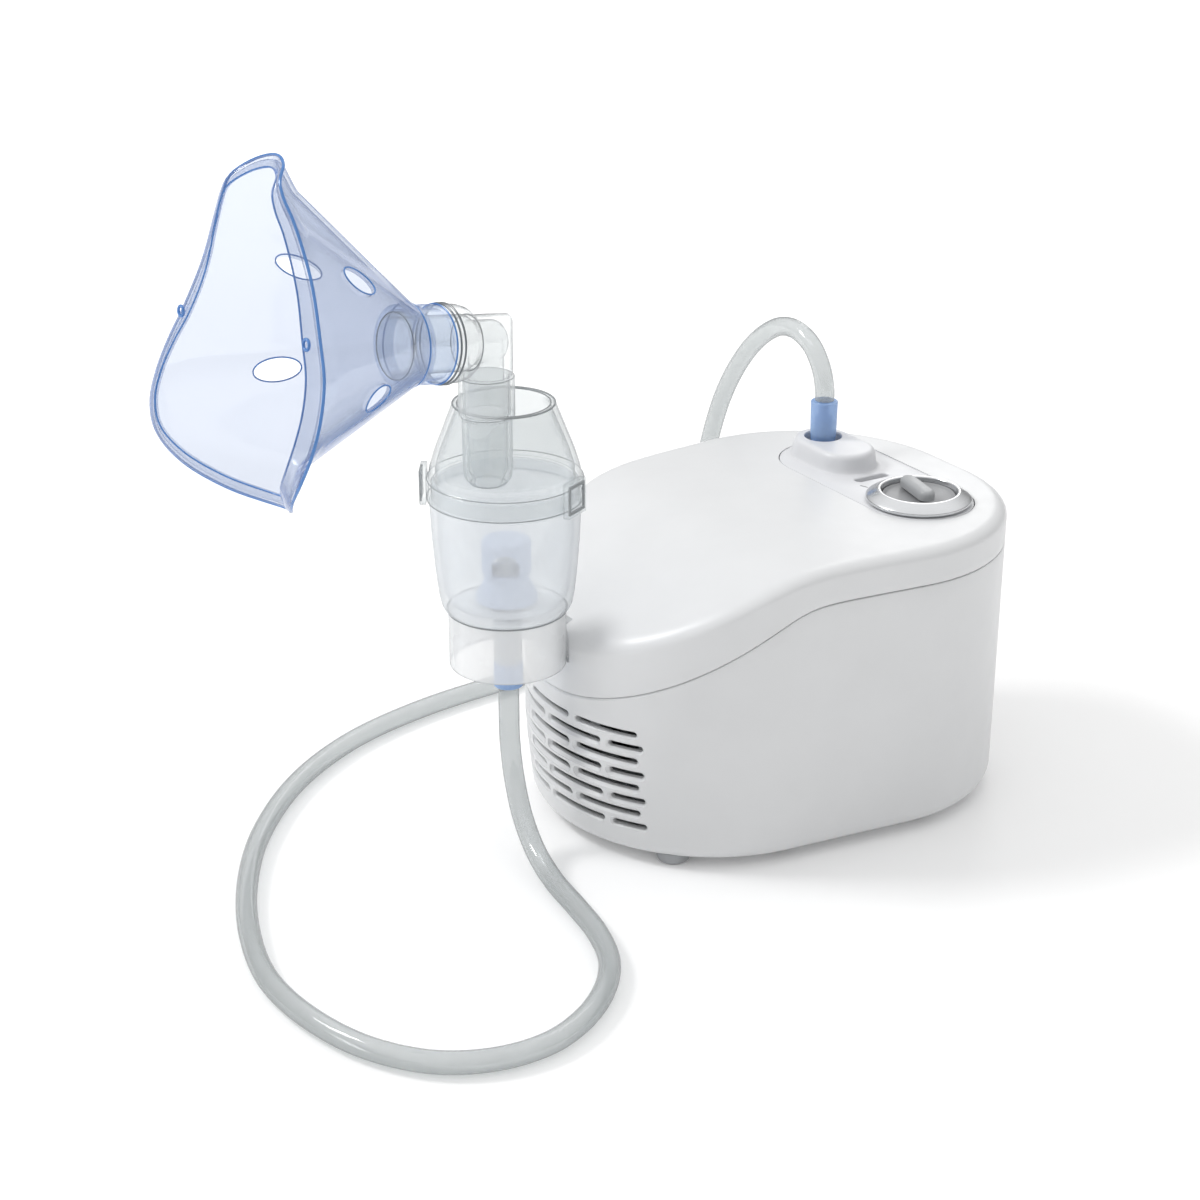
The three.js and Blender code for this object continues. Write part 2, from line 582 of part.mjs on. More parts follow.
// ---------------------------------------------------------------- face mask, about the arm's axis
/** Half of the mask's edge, nose to chin: [sideways, up, out towards the face, lip width]. */
const MASK_EDGE = [
  [0, 51.8, 70.4, 3.2], [7.5, 50, 72.4, 3.2], [12.6, 45.6, 76.4, 3.2], [15.6, 41.5, 76.8, 3.6],
  [19.3, 36.6, 76.2, 4], [27.5, 22.6, 75.6, 5], [35.6, 7.6, 77.3, 5.8], [40.6, -1.6, 79, 6],
  [43, -11, 81.3, 6], [42.6, -19.4, 83.2, 6], [38.4, -27.2, 83.6, 5.4], [30, -33.8, 80.8, 4.8],
  [17, -39.6, 73.6, 4], [0, -42.8, 64.8, 3.4],
];
const MASK_SIDES = 32;
/** Vents in the cone: angle about the neck's axis, distance from that axis, and distance along it. */
const MASK_VENTS = [[53, 25.4, 53], [127, 25.4, 53], [-20, 27.5, 52.7], [-160, 27.5, 52.7]];

/** Points evenly spread round the mask's edge, with the lip's width at each. */
function maskEdge() {
  const half = MASK_EDGE.map(([u, h, w, lip]) => ({ p: v3(-u, h, w), lip }));
  const mirrored = half.slice(1, -1).reverse().map(({ p, lip }) => ({ p: v3(-p.x, p.y, p.z), lip }));
  const loopPoints = [...half, ...mirrored];
  const curve = new THREE.CatmullRomCurve3(loopPoints.map(({ p }) => p), true, 'centripetal');
  const lips = new THREE.CatmullRomCurve3(loopPoints.map(({ lip }, k) => v3(lip, k, 0)), true, 'centripetal');
  return Array.from({ length: MASK_SIDES }, (_, k) => {
    const t = curve.getUtoTmapping(k / MASK_SIDES);
    return { p: curve.getPoint(t), lip: lips.getPoint(t).x };
  });
}

/** Width of the cone at the flange beside the edge's own: least at the chin, less at the nose. */
function coneShare(height) {
  return height < 0 ? 0.93 - 0.2 * (height / 42.8) ** 2 : 0.93 - 0.09 * (height / 51.8) ** 2;
}

/** Rings of the mask's outer skin: neck, shoulder, cone, flange's edge, then the turned-in lip. */
function maskSkin() {
  const edge = maskEdge();
  const { neckStart, neckEnd, neckR } = MASK;
  const around = edge.map((_, k) => {
    const a = Math.PI / 2 + 2 * Math.PI * k / MASK_SIDES;
    return v3(Math.cos(a), Math.sin(a), 0);
  });
  const circle = (r, w) => around.map((d) => v3(d.x * r, d.y * r, w));
  const rings = [circle(neckR, neckStart), circle(neckR, neckEnd - 3), circle(neckR - 0.2, neckEnd)];
  for (const share of [0.14, 0.4, 0.7, 1]) {
    rings.push(edge.map(({ p }, k) => {
      const start = v3(around[k].x * (neckR - 0.2), around[k].y * (neckR - 0.2), neckEnd + 1);
      const shrink = coneShare(p.y);
      const end = v3(p.x * shrink, p.y * shrink, start.z + (p.z - start.z) * MASK.flange);
      return start.lerp(end, share);
    }));
  }
  rings.push(edge.map(({ p }) => p.clone()));
  for (const [inward, outward] of [[0.45, 1.3], [1, 1.8]]) {
    rings.push(edge.map(({ p, lip }) => {
      const towards = v3(p.x, p.y, 0).normalize().multiplyScalar(-lip * inward);
      return p.clone().add(towards).add(v3(0, 0, outward));
    }));
  }
  return rings;
}

/** The skin moved along its own normals, to give the mask its wall. */
function offsetRings(rings, distance) {
  const n = MASK_SIDES;
  return rings.map((ring, i) => ring.map((p, k) => {
    const before = rings[Math.max(i - 1, 0)][k];
    const after = rings[Math.min(i + 1, rings.length - 1)][k];
    const along = after.clone().sub(before).normalize();
    const across = ring[(k + 1) % n].clone().sub(ring[(k + n - 1) % n]).normalize();
    const normal = across.cross(along).normalize();
    return p.clone().addScaledVector(normal, distance);
  }));
}

function faceMask() {
  const { neckEnd, neckR, wall, collarEnd } = MASK;
  const skin = maskSkin();
  const inside = offsetRings(skin, -MASK.wall);
  const collar = turned([
    [neckR - wall - 0.05, neckEnd - 2], [neckR - 0.3, neckEnd - 2],
    [neckR + 0.2, collarEnd], [10.2, collarEnd],
  ], 20, true);
  const shell = join(loft([...skin, ...inside.reverse()], { loop: true }), collar);
  const holes = MASK_VENTS.map(([angle, out, along]) =>
    new THREE.CylinderGeometry(3.4, 3.4, 40, 8).rotateZ(Math.PI / 2).scale(1, 1, 2)
      .rotateY(rad(30)).translate(out, 0, along).rotateZ(rad(angle)));
  return cut(shell, ...holes);
}

// ---------------------------------------------------------------- air tube
const tubePlug = (bottom) => turned([
  [2.9, 0], [PLUG.r - 0.5, 0], [PLUG.r - 0.2, 0.5], [PLUG.r, PLUG.length - 0.4], [PLUG.r - 0.3, PLUG.length],
  [1.6, PLUG.length], [1.6, 9], [2.9, 9],
], 16, true).translate(0, 0, bottom);

/** Plug at the kit: a collar on the tube, and a spigot up into the cup's socket. */
const kitPlug = () => turned([
  [1.6, 0], [PLUG.r - 0.3, 0], [PLUG.r, 0.4], [PLUG.r, PLUG.collar - 0.4], [PLUG.r - 0.3, PLUG.collar],
  [SOCKET.bore - GAP, PLUG.collar], [SOCKET.bore - GAP, 16], [1.6, 16],
], 16, true).translate(0, 0, PLUG.kitBottom);

/** Route of the air tube, from under the kit, round on the table, to the plug on the machine. */
const TUBE_ROUTE = [
  [0, -85.5, PLUG.kitBottom - GAP], [0, -85.5, 47], [0.3, -85.6, 37], [3.2, -85.9, 25], [9.6, -86.7, 14.4],
  [20, -88, 7.2], [34, -89.6, 4], [50, -91, 3.5], [66, -93.2, 3.5], [81, -98, 3.5], [93, -106.5, 3.5],
  [103, -119, 3.5], [108.5, -133, 3.5], [108, -148.5, 3.5], [101, -163.5, 3.5], [86, -176, 3.5],
  [65, -183.6, 3.5], [41, -185.8, 3.5], [15, -180.6, 3.5], [-12, -170, 3.5], [-39, -154, 3.5],
  [-66, -129.5, 3.5], [-84.5, -101, 3.5], [-94.5, -70, 3.5], [-99, -38, 3.5], [-101, -8, 3.5],
  [-102, 12, 5], [-102.6, 29, 10.5], [-103, 42.5, 24], [-102.6, 49.2, 45], [-98.4, 50.6, 73],
  [-87.5, 50.6, 101], [-73.5, 50.5, 120.6], [-61, 50.45, 131.2], [-51.5, 50.45, 135.6], [-42.6, 50.45, 136],
  [-34.6, 50.45, 132.8], [-29, 50.45, 126.4], [OUTLET.x, PANEL.y, 119.4],
  [OUTLET.x, PANEL.y, PLUG.machineBottom + PLUG.length + GAP],
];

const HOSE_ROUTE = [
  [0, -18.2, 75], [0, -15.5, 75], [-1.5, -10, 77], [-10, -2, 83.5], [-22, 12, 86], [-28.5, 32, 82], [-28, 45, 76],
  [OUTLET.x, PANEL.y, 80], [OUTLET.x, PANEL.y, 89.1],
];

// ---------------------------------------------------------------- assembly
const assembly = new THREE.Group();

function place(name, geometry, material, parent = assembly) {
  const mesh = new THREE.Mesh(geometry, material);
  mesh.name = name;
  parent.add(mesh);
  return mesh;
}

place('lower_housing', lowerHousing(), WHITE);
place('top_cover', topCover(), WHITE);
FEET.forEach(([x, y], k) => place(`foot_${k + 1}`, foot(x, y), RUBBER));
POSTS.forEach(([x, y], k) => place(`housing_screw_${k + 1}`, housingScrew(x, y), STEEL));

place('control_panel', controlPanel(), PANEL_WHITE);
place('air_outlet_nozzle', outletNozzle(), PLUG_BLUE);
place('dial_ring', dialRing(), SILVER);
place('dial_knob', dialKnob(), DARK_GREY);
place('dial_grip', dialGrip(), LIGHT_GREY);
place('rotary_switch', rotarySwitch(), BLACK);
place('air_filter_holder', filterHolder(), BLACK);
place('air_filter', filterPad(), FELT);

place('mains_inlet', mainsInlet(), BLACK);
[-1, 1].forEach((side, k) => place(`inlet_pin_${k + 1}`, inletPin(side), BRASS));

place('chassis_plate', chassisPlate(), STEEL);
MOUNTS.forEach(([x, y], k) => place(`rubber_mount_${k + 1}`, rubberMount(x, y), BLACK));
place('front_bracket', bracket(-10), STEEL);
place('rear_bracket', bracket(42), STEEL);
place('front_bearing', bearing(-11.5), BRASS);
place('rear_bearing', bearing(40.5), BRASS);
place('stator_core', statorCore(), STEEL);
place('motor_coil', motorCoil(), COPPER);
place('rotor', rotor(), STEEL);
place('motor_shaft', motorShaft(), STEEL);
place('cooling_fan', coolingFan(), BLACK);
place('crank_disc', crankDisc(), CAST);
place('piston_rod', pistonRod(), CAST);
place('pump_cylinder', pumpCylinder(), STEEL);
place('cylinder_head', cylinderHead(), CAST);
place('pump_stand', pumpStand(), STEEL);
place('outlet_hose', swept(HOSE_ROUTE, 2.4, 8, 16), PVC);

const kit = new THREE.Group();
kit.position.set(0, KIT.y, 0);
assembly.add(kit);
place('medicine_cup', medicineCup(), FROSTED, kit);
place('vaporizer_head', vaporizerHead(), PALE_BLUE, kit);
place('kit_tube_plug', kitPlug(), PLUG_BLUE, kit);

const cap = new THREE.Group();
cap.rotation.z = CAP_TURN;
kit.add(cap);
place('inhalation_cap', inhalationCap(), CLEAR, cap);

const adapter = new THREE.Group();
adapter.position.set(CHIMNEY.out * Math.sin(CAP_TURN), -CHIMNEY.out * Math.cos(CAP_TURN), 0);
kit.add(adapter);
place('angle_adapter', angleAdapter(), CLEAR, adapter);

const mask = new THREE.Group();
mask.applyMatrix4(armFrame());
adapter.add(mask);
place('face_mask', faceMask(), MASK_BLUE, mask).rotation.z = rad(MASK.roll);

place('machine_tube_plug', tubePlug(PLUG.machineBottom).translate(OUTLET.x, PANEL.y, 0), PLUG_BLUE);
place('air_tube', swept(TUBE_ROUTE, TUBE_R, 8, 72), PVC);

// The origin lies under the middle of the box round everything but the tube and its plugs.
const TUBE_PIECES = ['air_tube', 'machine_tube_plug', 'kit_tube_plug'];
const group = new THREE.Group();
group.add(assembly);
group.updateMatrixWorld(true);
const box = new THREE.Box3();
assembly.traverse((node) => {
  if (node.isMesh && !TUBE_PIECES.includes(node.name)) box.expandByObject(node, true);
});
const middle = box.getCenter(v3(0, 0, 0));
assembly.position.set(-middle.x, -middle.y, -box.min.z);

export default group;
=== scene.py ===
import json
import math

import bmesh
import bpy
import numpy as np
from mathutils import Matrix, Vector
from mathutils.bvhtree import BVHTree

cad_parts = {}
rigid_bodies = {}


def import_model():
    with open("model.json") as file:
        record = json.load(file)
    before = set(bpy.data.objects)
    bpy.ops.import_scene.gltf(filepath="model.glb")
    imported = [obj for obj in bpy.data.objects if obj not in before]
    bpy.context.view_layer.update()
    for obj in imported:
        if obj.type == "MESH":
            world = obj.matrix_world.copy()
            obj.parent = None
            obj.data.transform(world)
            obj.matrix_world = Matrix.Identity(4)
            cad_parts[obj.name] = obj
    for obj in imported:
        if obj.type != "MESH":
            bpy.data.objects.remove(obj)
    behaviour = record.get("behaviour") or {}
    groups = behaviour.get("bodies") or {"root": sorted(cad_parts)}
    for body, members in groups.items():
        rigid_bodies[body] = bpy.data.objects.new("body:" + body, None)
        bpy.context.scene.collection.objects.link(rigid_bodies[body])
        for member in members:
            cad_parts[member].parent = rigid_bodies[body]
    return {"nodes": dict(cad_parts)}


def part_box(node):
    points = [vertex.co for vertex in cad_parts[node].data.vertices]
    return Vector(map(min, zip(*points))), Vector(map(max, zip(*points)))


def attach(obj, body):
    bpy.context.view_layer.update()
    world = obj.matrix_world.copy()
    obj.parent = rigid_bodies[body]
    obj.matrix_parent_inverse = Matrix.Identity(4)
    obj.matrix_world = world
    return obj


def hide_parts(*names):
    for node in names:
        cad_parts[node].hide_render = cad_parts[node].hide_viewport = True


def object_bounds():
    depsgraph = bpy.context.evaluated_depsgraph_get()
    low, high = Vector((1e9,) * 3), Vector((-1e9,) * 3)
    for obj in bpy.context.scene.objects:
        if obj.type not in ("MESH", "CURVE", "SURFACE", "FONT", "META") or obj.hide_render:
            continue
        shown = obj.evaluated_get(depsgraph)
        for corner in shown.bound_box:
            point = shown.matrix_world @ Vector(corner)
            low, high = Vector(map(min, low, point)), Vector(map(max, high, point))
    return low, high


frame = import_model()
cad_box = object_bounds()
nodes = frame["nodes"]
scene = bpy.context.scene

# ---------------------------------------------------------------- units and place
# Lengths below are millimetres in the machine's own frame: x 0 on its middle plane, the nose
# towards -Y. SHIFT carries that frame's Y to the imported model's, whose unit is the metre.
MM = 0.001
BACK_X, BACK_Y, BACK_R = 9, 31.9, 52.9
NOSE_Y, NOSE_R = -11.6, 57.2
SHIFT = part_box("lower_housing")[1].y / MM - (BACK_Y + BACK_R)
GAP = 0.3
WALL = 2.4


def at(x, y, z):
    """A point of the machine's frame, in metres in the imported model's frame."""
    return Vector((x, y + SHIFT, z)) * MM


# ---------------------------------------------------------------- camera
CAM_TURN, CAM_RISE = math.radians(59.2), math.radians(23.0)
CAM_AT = at(564, -389, 354.6)
LENS = 68.9

camera = bpy.data.objects.new("camera", bpy.data.cameras.new("camera"))
scene.collection.objects.link(camera)
camera.data.lens = LENS
camera.data.sensor_width = 36
camera.data.clip_start = 0.01
camera.location = CAM_AT
look = Vector((-math.sin(CAM_TURN) * math.cos(CAM_RISE),
               math.cos(CAM_TURN) * math.cos(CAM_RISE), -math.sin(CAM_RISE)))
camera.rotation_mode = "QUATERNION"
camera.rotation_quaternion = look.to_track_quat("-Z", "Y")
scene.camera = camera


# ---------------------------------------------------------------- mesh tools
def new_object(name, mesh):
    obj = bpy.data.objects.new(name, mesh)
    scene.collection.objects.link(obj)
    return obj


def build(name, points, faces):
    """Mesh object from machine-frame points in mm."""
    mesh = bpy.data.meshes.new(name)
    moved = (np.asarray(points, float) + (0, SHIFT, 0)) * MM
    mesh.from_pydata(moved.tolist(), [], faces)
    mesh.validate()
    return new_object(name, mesh)


def loft(name, rings, ends=True, loop=False):
    """Closed skin through rings of equal length, with fans over its two ends or joined end to end."""
    n = len(rings[0])
    points = [p for ring in rings for p in ring]
    faces = []
    bands = len(rings) if loop else len(rings) - 1
    for i in range(bands):
        low, high = i * n, ((i + 1) % len(rings)) * n
        for k in range(n):
            step = (k + 1) % n
            faces.append((low + k, low + step, high + step, high + k))
    if ends and not loop:
        for first, flip in ((0, True), ((len(rings) - 1) * n, False)):
            centre = np.mean(points[first:first + n], axis=0)
            points.append(centre)
            c = len(points) - 1
            for k in range(n):
                a, b = first + k, first + (k + 1) % n
                faces.append((c, b, a) if flip else (c, a, b))
    return build(name, points, faces)


def turned(name, profile, centre=(0, 0), segments=96, closed=False):
    """Lathe about an upright axis. An open profile starts and ends on the axis."""
    angles = [2 * math.pi * k / segments for k in range(segments)]
    cx, cy = centre
    points, rows, faces = [], [], []
    for r, z in profile:
        if r < 1e-6:
            rows.append([len(points)])
            points.append((cx, cy, z))
        else:
            rows.append(list(range(len(points), len(points) + segments)))
            points += [(cx + r * math.cos(a), cy + r * math.sin(a), z) for a in angles]
    pairs = list(zip(rows, rows[1:]))
    if closed:
        pairs.append((rows[-1], rows[0]))
    for low, high in pairs:
        for k in range(segments):
            step = (k + 1) % segments
            if len(low) == 1 and len(high) == 1:
                continue
            if len(low) == 1:
                faces.append((low[0], high[step], high[k]))
            elif len(high) == 1:
                faces.append((low[k], low[step], high[0]))
            else:
                faces.append((low[k], low[step], high[step], high[k]))
    return build(name, points, faces)


def rounded(profile, radius, steps=4):
    """Profile with each inner corner replaced by a short arc of about that radius."""
    out = [profile[0]]
    for before, here, after in zip(profile, profile[1:], profile[2:]):
        a, p, b = (np.array(q, float) for q in (before, here, after))
        reach = min(radius, np.linalg.norm(a - p) * 0.45, np.linalg.norm(b - p) * 0.45)
        start = p + (a - p) / np.linalg.norm(a - p) * reach
        stop = p + (b - p) / np.linalg.norm(b - p) * reach
        for k in range(steps + 1):
            t = k / steps
            out.append(tuple((1 - t) ** 2 * start + 2 * t * (1 - t) * p + t * t * stop))
    return out + [profile[-1]]


def stadium_ring(x0, x1, y, r, z, steps=24):
    ring = []
    for x, start in ((x1, -90), (x0, 90)):
        for k in range(steps + 1):
            a = math.radians(start + 180 * k / steps)
            ring.append((x + r * math.cos(a), y + r * math.sin(a), z))
    return ring


def stadium(name, x0, x1, y, r, z0, z1):
    return loft(name, [stadium_ring(x0, x1, y, r, z) for z in (z0, z1)])


def block(name, low, high):
    (x0, y0, z0), (x1, y1, z1) = low, high
    ring = [(x0, y0), (x1, y0), (x1, y1), (x0, y1)]
    return loft(name, [[(x, y, z) for x, y in ring] for z in (z0, z1)])


def baked(obj):
    """Applies the object's modifiers to its mesh."""
    graph = bpy.context.evaluated_depsgraph_get()
    graph.update()
    mesh = bpy.data.meshes.new_from_object(obj.evaluated_get(graph), depsgraph=graph)
    obj.modifiers.clear()
    obj.data = mesh
    return obj


def combine(obj, tools, operation):
    """Boolean of obj with each tool in turn; the tools are used up."""
    for tool in tools:
        modifier = obj.modifiers.new("combine", "BOOLEAN")
        modifier.operation = operation
        modifier.solver = "EXACT"
        modifier.object = tool
        baked(obj)
        bpy.data.objects.remove(tool)
    return obj


def cut(obj, *tools):
    return combine(obj, tools, "DIFFERENCE")


def join(obj, *tools):
    return combine(obj, tools, "UNION")


def common(obj, *tools):
    return combine(obj, tools, "INTERSECT")


def merged(name, objects):
    """One object of several, side by side, with their vertices as they are."""
    whole = bmesh.new()
    for obj in objects:
        whole.from_mesh(obj.data)
        bpy.data.objects.remove(obj)
    mesh = bpy.data.meshes.new(name)
    whole.to_mesh(mesh)
    whole.free()
    return new_object(name, mesh)


def bevelled(obj, width, segments=2, angle=35):
    """Rounds the edges sharper than an angle."""
    modifier = obj.modifiers.new("bevel", "BEVEL")
    modifier.width = width * MM
    modifier.segments = segments
    modifier.limit_method = "ANGLE"
    modifier.angle_limit = math.radians(angle)
    modifier.use_clamp_overlap = True
    return baked(obj)


def smooth(obj, angle=32):
    """Smooth shading with edges sharper than the angle left crisp."""
    mesh = obj.data
    mesh.shade_smooth()
    mesh.set_sharp_from_angle(angle=math.radians(angle))
    return obj


def finished(obj, material, body, slot, *replaced, angle=32):
    """Shading, material, body and the CAD nodes that the piece stands for; the slot argument is not used."""
    if obj.type == "MESH":
        smooth(obj, angle)
    obj.data.materials.clear()
    obj.data.materials.append(material)
    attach(obj, body)
    if replaced:
        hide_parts(*replaced)
    return obj


def placed(obj, matrix):
    """Moves the mesh by a machine-frame matrix whose lengths are mm."""
    to_machine = Matrix.Translation((0, -SHIFT, 0)) @ Matrix.Scale(1 / MM, 4)
    obj.data.transform(to_machine.inverted() @ matrix @ to_machine)
    return obj


# ---------------------------------------------------------------- material tools
class Nodes:
    """A material's node tree with short ways to add to it."""

    def __init__(self, name):
        self.material = bpy.data.materials.new(name)
        self.material.use_nodes = True
        self.tree = self.material.node_tree
        self.tree.nodes.clear()
        self.output = self.add("ShaderNodeOutputMaterial")
        self.place = self.add("ShaderNodeTexCoord").outputs["Object"]

    def add(self, kind, **values):
        node = self.tree.nodes.new(kind)
        for key, value in values.items():
            setattr(node, key, value)
        return node

    def wire(self, source, target):
        self.tree.links.new(source, target)

    def noise(self, scale, detail=3.0, rough=0.5):
        node = self.add("ShaderNodeTexNoise")
        node.inputs["Scale"].default_value = scale
        node.inputs["Detail"].default_value = detail
        node.inputs["Roughness"].default_value = rough
        self.wire(self.place, node.inputs["Vector"])
        return node.outputs["Fac"]

    def spread(self, value, low, high, start=0.3, stop=0.7):
        """Maps start..stop of a value to low..high."""
        node = self.add("ShaderNodeMapRange")
        for key, number in (("From Min", start), ("From Max", stop), ("To Min", low), ("To Max", high)):
            node.inputs[key].default_value = number
        self.wire(value, node.inputs["Value"])
        return node.outputs["Result"]

    def blend(self, value, colour_a, colour_b):
        node = self.add("ShaderNodeMix", data_type="RGBA")
        self.wire(value, node.inputs["Factor"])
        for key, colour in ((6, colour_a), (7, colour_b)):
            if isinstance(colour, bpy.types.NodeSocket):
                self.wire(colour, node.inputs[key])
            else:
                node.inputs[key].default_value = (*colour, 1)
        return node.outputs[2]

    def power(self, value, exponent):
        node = self.add("ShaderNodeMath", operation="POWER")
        self.wire(value, node.inputs[0])
        node.inputs[1].default_value = exponent
        return node.outputs[0]

    def bump(self, height, strength, distance):
        node = self.add("ShaderNodeBump")
        node.inputs["Strength"].default_value = strength
        node.inputs["Distance"].default_value = distance
        self.wire(height, node.inputs["Height"])
        return node.outputs["Normal"]

    def facing(self):
        node = self.add("ShaderNodeLayerWeight")
        node.inputs["Blend"].default_value = 0.5
        return node.outputs["Facing"]


def rgb(code):
    """Linear colour from an sRGB hex string."""
    parts = [int(code[k:k + 2], 16) / 255 for k in (0, 2, 4)]
    return tuple(c / 12.92 if c <= 0.04045 else ((c + 0.055) / 1.055) ** 2.4 for c in parts)


def moulded(name, colour, second, rough=(0.35, 0.45), grain=2600, depth=0.15, metal=0.0,
            coat=0.0, patch=45, sheen=0.0):
    """Solid material: slow colour and roughness changes, and a fine surface texture."""
    n = Nodes(name)
    shader = n.add("ShaderNodeBsdfPrincipled")
    shader.inputs["Metallic"].default_value = metal
    shader.inputs["Coat Weight"].default_value = coat
    shader.inputs["Coat Roughness"].default_value = 0.12
    shader.inputs["Sheen Weight"].default_value = sheen
    slow = n.noise(patch, 4)
    n.wire(n.blend(n.spread(slow, 0, 1), rgb(colour), rgb(second)), shader.inputs["Base Color"])
    n.wire(n.spread(n.noise(patch * 4, 5), *rough), shader.inputs["Roughness"])
    n.wire(n.bump(n.noise(grain, 2), depth, 0.00004), shader.inputs["Normal"])
    n.wire(shader.outputs[0], n.output.inputs["Surface"])
    return n.material


def see_through(name, body, edge, tint, alpha, band=(0.5, 0.97), rough=0.12, gloss=0.1):
    """Clear plastic: little of its own colour face on, more of it and darker at grazing angles."""
    n = Nodes(name)
    grazing = n.power(n.spread(n.facing(), 0, 1, *band), 1.5)
    shader = n.add("ShaderNodeBsdfPrincipled")
    shader.inputs["Specular IOR Level"].default_value = 0.15
    n.wire(n.blend(grazing, rgb(body), rgb(edge)), shader.inputs["Base Color"])
    n.wire(n.spread(n.noise(60, 4), rough * 0.7, rough * 1.4), shader.inputs["Roughness"])
    n.wire(n.bump(n.noise(900, 2), 0.08, 0.00005), shader.inputs["Normal"])
    clear = n.add("ShaderNodeBsdfTransparent")
    clear.inputs["Color"].default_value = (*rgb(tint), 1)
    cloud = n.spread(n.noise(35, 3), 0.9, 1.1)
    varied = n.add("ShaderNodeMath", operation="MULTIPLY", use_clamp=True)
    n.wire(n.spread(grazing, *alpha, 0, 1), varied.inputs[0])
    n.wire(cloud, varied.inputs[1])
    mix = n.add("ShaderNodeMixShader")
    n.wire(varied.outputs[0], mix.inputs[0])
    n.wire(clear.outputs[0], mix.inputs[1])
    n.wire(shader.outputs[0], mix.inputs[2])
    mirror = n.add("ShaderNodeBsdfAnisotropic")
    mirror.inputs["Roughness"].default_value = rough
    shine = n.add("ShaderNodeMixShader")
    n.wire(n.spread(n.power(n.facing(), 4), 0.04, gloss, 0, 1), shine.inputs[0])
    n.wire(mix.outputs[0], shine.inputs[1])
    n.wire(mirror.outputs[0], shine.inputs[2])
    n.wire(shine.outputs[0], n.output.inputs["Surface"])
    return n.material


WHITE = moulded("white_plastic", "dfe0e1", "dcddde", (0.32, 0.42), coat=0.1)
PANEL = moulded("panel_plastic", "dfe0e2", "dbdcdf", (0.34, 0.44), coat=0.1)
FOOT = moulded("foot_rubber", "b2b4b6", "a4a6a9", (0.7, 0.85), grain=1800, depth=0.4)
STEEL = moulded("plain_steel", "b4b7ba", "9fa2a6", (0.25, 0.45), metal=1.0, grain=1500)
SILVER = moulded("silver_trim", "e4e5e7", "d6d8da", (0.16, 0.26), metal=0.85, coat=0.3)
DIAL_GREY = moulded("dial_grey", "9b9c9e", "919294", (0.34, 0.46))
GRIP_GREY = moulded("grip_grey", "a8aaac", "9ea0a2", (0.3, 0.42), coat=0.1)
BLACK = moulded("black_plastic", "1d1e20", "131415", (0.45, 0.6))
MOUNT_RUBBER = moulded("mount_rubber", "1b1b1c", "111112", (0.75, 0.9), depth=0.4)
BRASS = moulded("pin_brass", "c9a75a", "b08e44", (0.2, 0.35), metal=1.0)
BRONZE = moulded("bearing_bronze", "b98f52", "9c7740", (0.4, 0.55), metal=1.0, grain=1200, depth=0.4)
CORE = moulded("core_steel", "7c8084", "66696d", (0.4, 0.6), metal=0.9, grain=900, depth=0.5)
CAST = moulded("cast_aluminium", "b6b9bc", "a2a6a9", (0.35, 0.55), metal=0.9, grain=1100, depth=0.4)
FELT = moulded("filter_felt", "f0eee8", "dedbd2", (0.9, 1.0), grain=700, depth=0.9, sheen=0.4)
MARK = moulded("mark_grey", "77797c", "6d6f72", (0.4, 0.5))
NOZZLE = moulded("nozzle_blue", "1f6fb8", "185f9f", (0.28, 0.4))
HEAD = moulded("head_pale_blue", "c3cee4", "b6c4de", (0.4, 0.55))
# Beads and frames in the three edge materials below carry painted shade: the dark grey and dark blue lines
# that refraction draws along the rims of clear plastic.
RIM_SHADE = see_through("painted_rim_shade", "9b9fa1", "6c7072", "c8cbcc", (0.6, 0.9), rough=0.2)
DARK_EDGE = see_through("dark_edge", "767b7e", "4c5154", "b2b6b8", (0.75, 0.95), rough=0.2)
BLUE_EDGE = see_through("blue_edge", "5d8fcb", "3068b0", "a9c6ea", (0.7, 0.95), rough=0.2)

CUP = see_through("frosted_cup", "edeff2", "b9bdc0", "fcfdfd", (0.36, 0.8), (0.35, 1), 0.42)
SKIRT = see_through("clear_skirt", "f1f2f3", "b4b8ba", "fdfdfd", (0.45, 0.75), (0.45, 1), 0.25)
CAP = see_through("clear_cap", "d2d6d8", "5f6366", "fafbfb", (0.14, 0.85), (0.5, 0.95), 0.1)
ADAPTER = see_through("clear_adapter", "dfe1e3", "5a5e61", "fafbfb", (0.12, 0.92), (0.45, 0.92), 0.1)
STEM = see_through("frosted_stem", "d3d7d9", "a0a5a8", "fafbfb", (0.6, 0.9), (0.4, 1), 0.35)
SLEEVE = see_through("frosted_sleeve", "dcdfe0", "84888b", "f9fafa", (0.22, 0.8), (0.45, 1), 0.3)
MASK = see_through("soft_mask", "d2d9e5", "2b62ac", "ebeef4", (0.05, 0.95), (0.45, 0.88), 0.12, 0.06)
MASK_NECK = see_through("soft_neck", "c6d3e6", "2b62ac", "f0f4fb", (0.07, 0.95), (0.45, 0.97), 0.16)
PLUG = see_through("soft_plug", "a6c4ec", "6c99d4", "cfe0f7", (0.62, 0.92), (0.4, 1), 0.25)
TUBE = see_through("clear_tube", "cfd2d3", "4d5356", "e9ebeb", (0.26, 0.92), (0.45, 0.93), 0.1, 0.15)


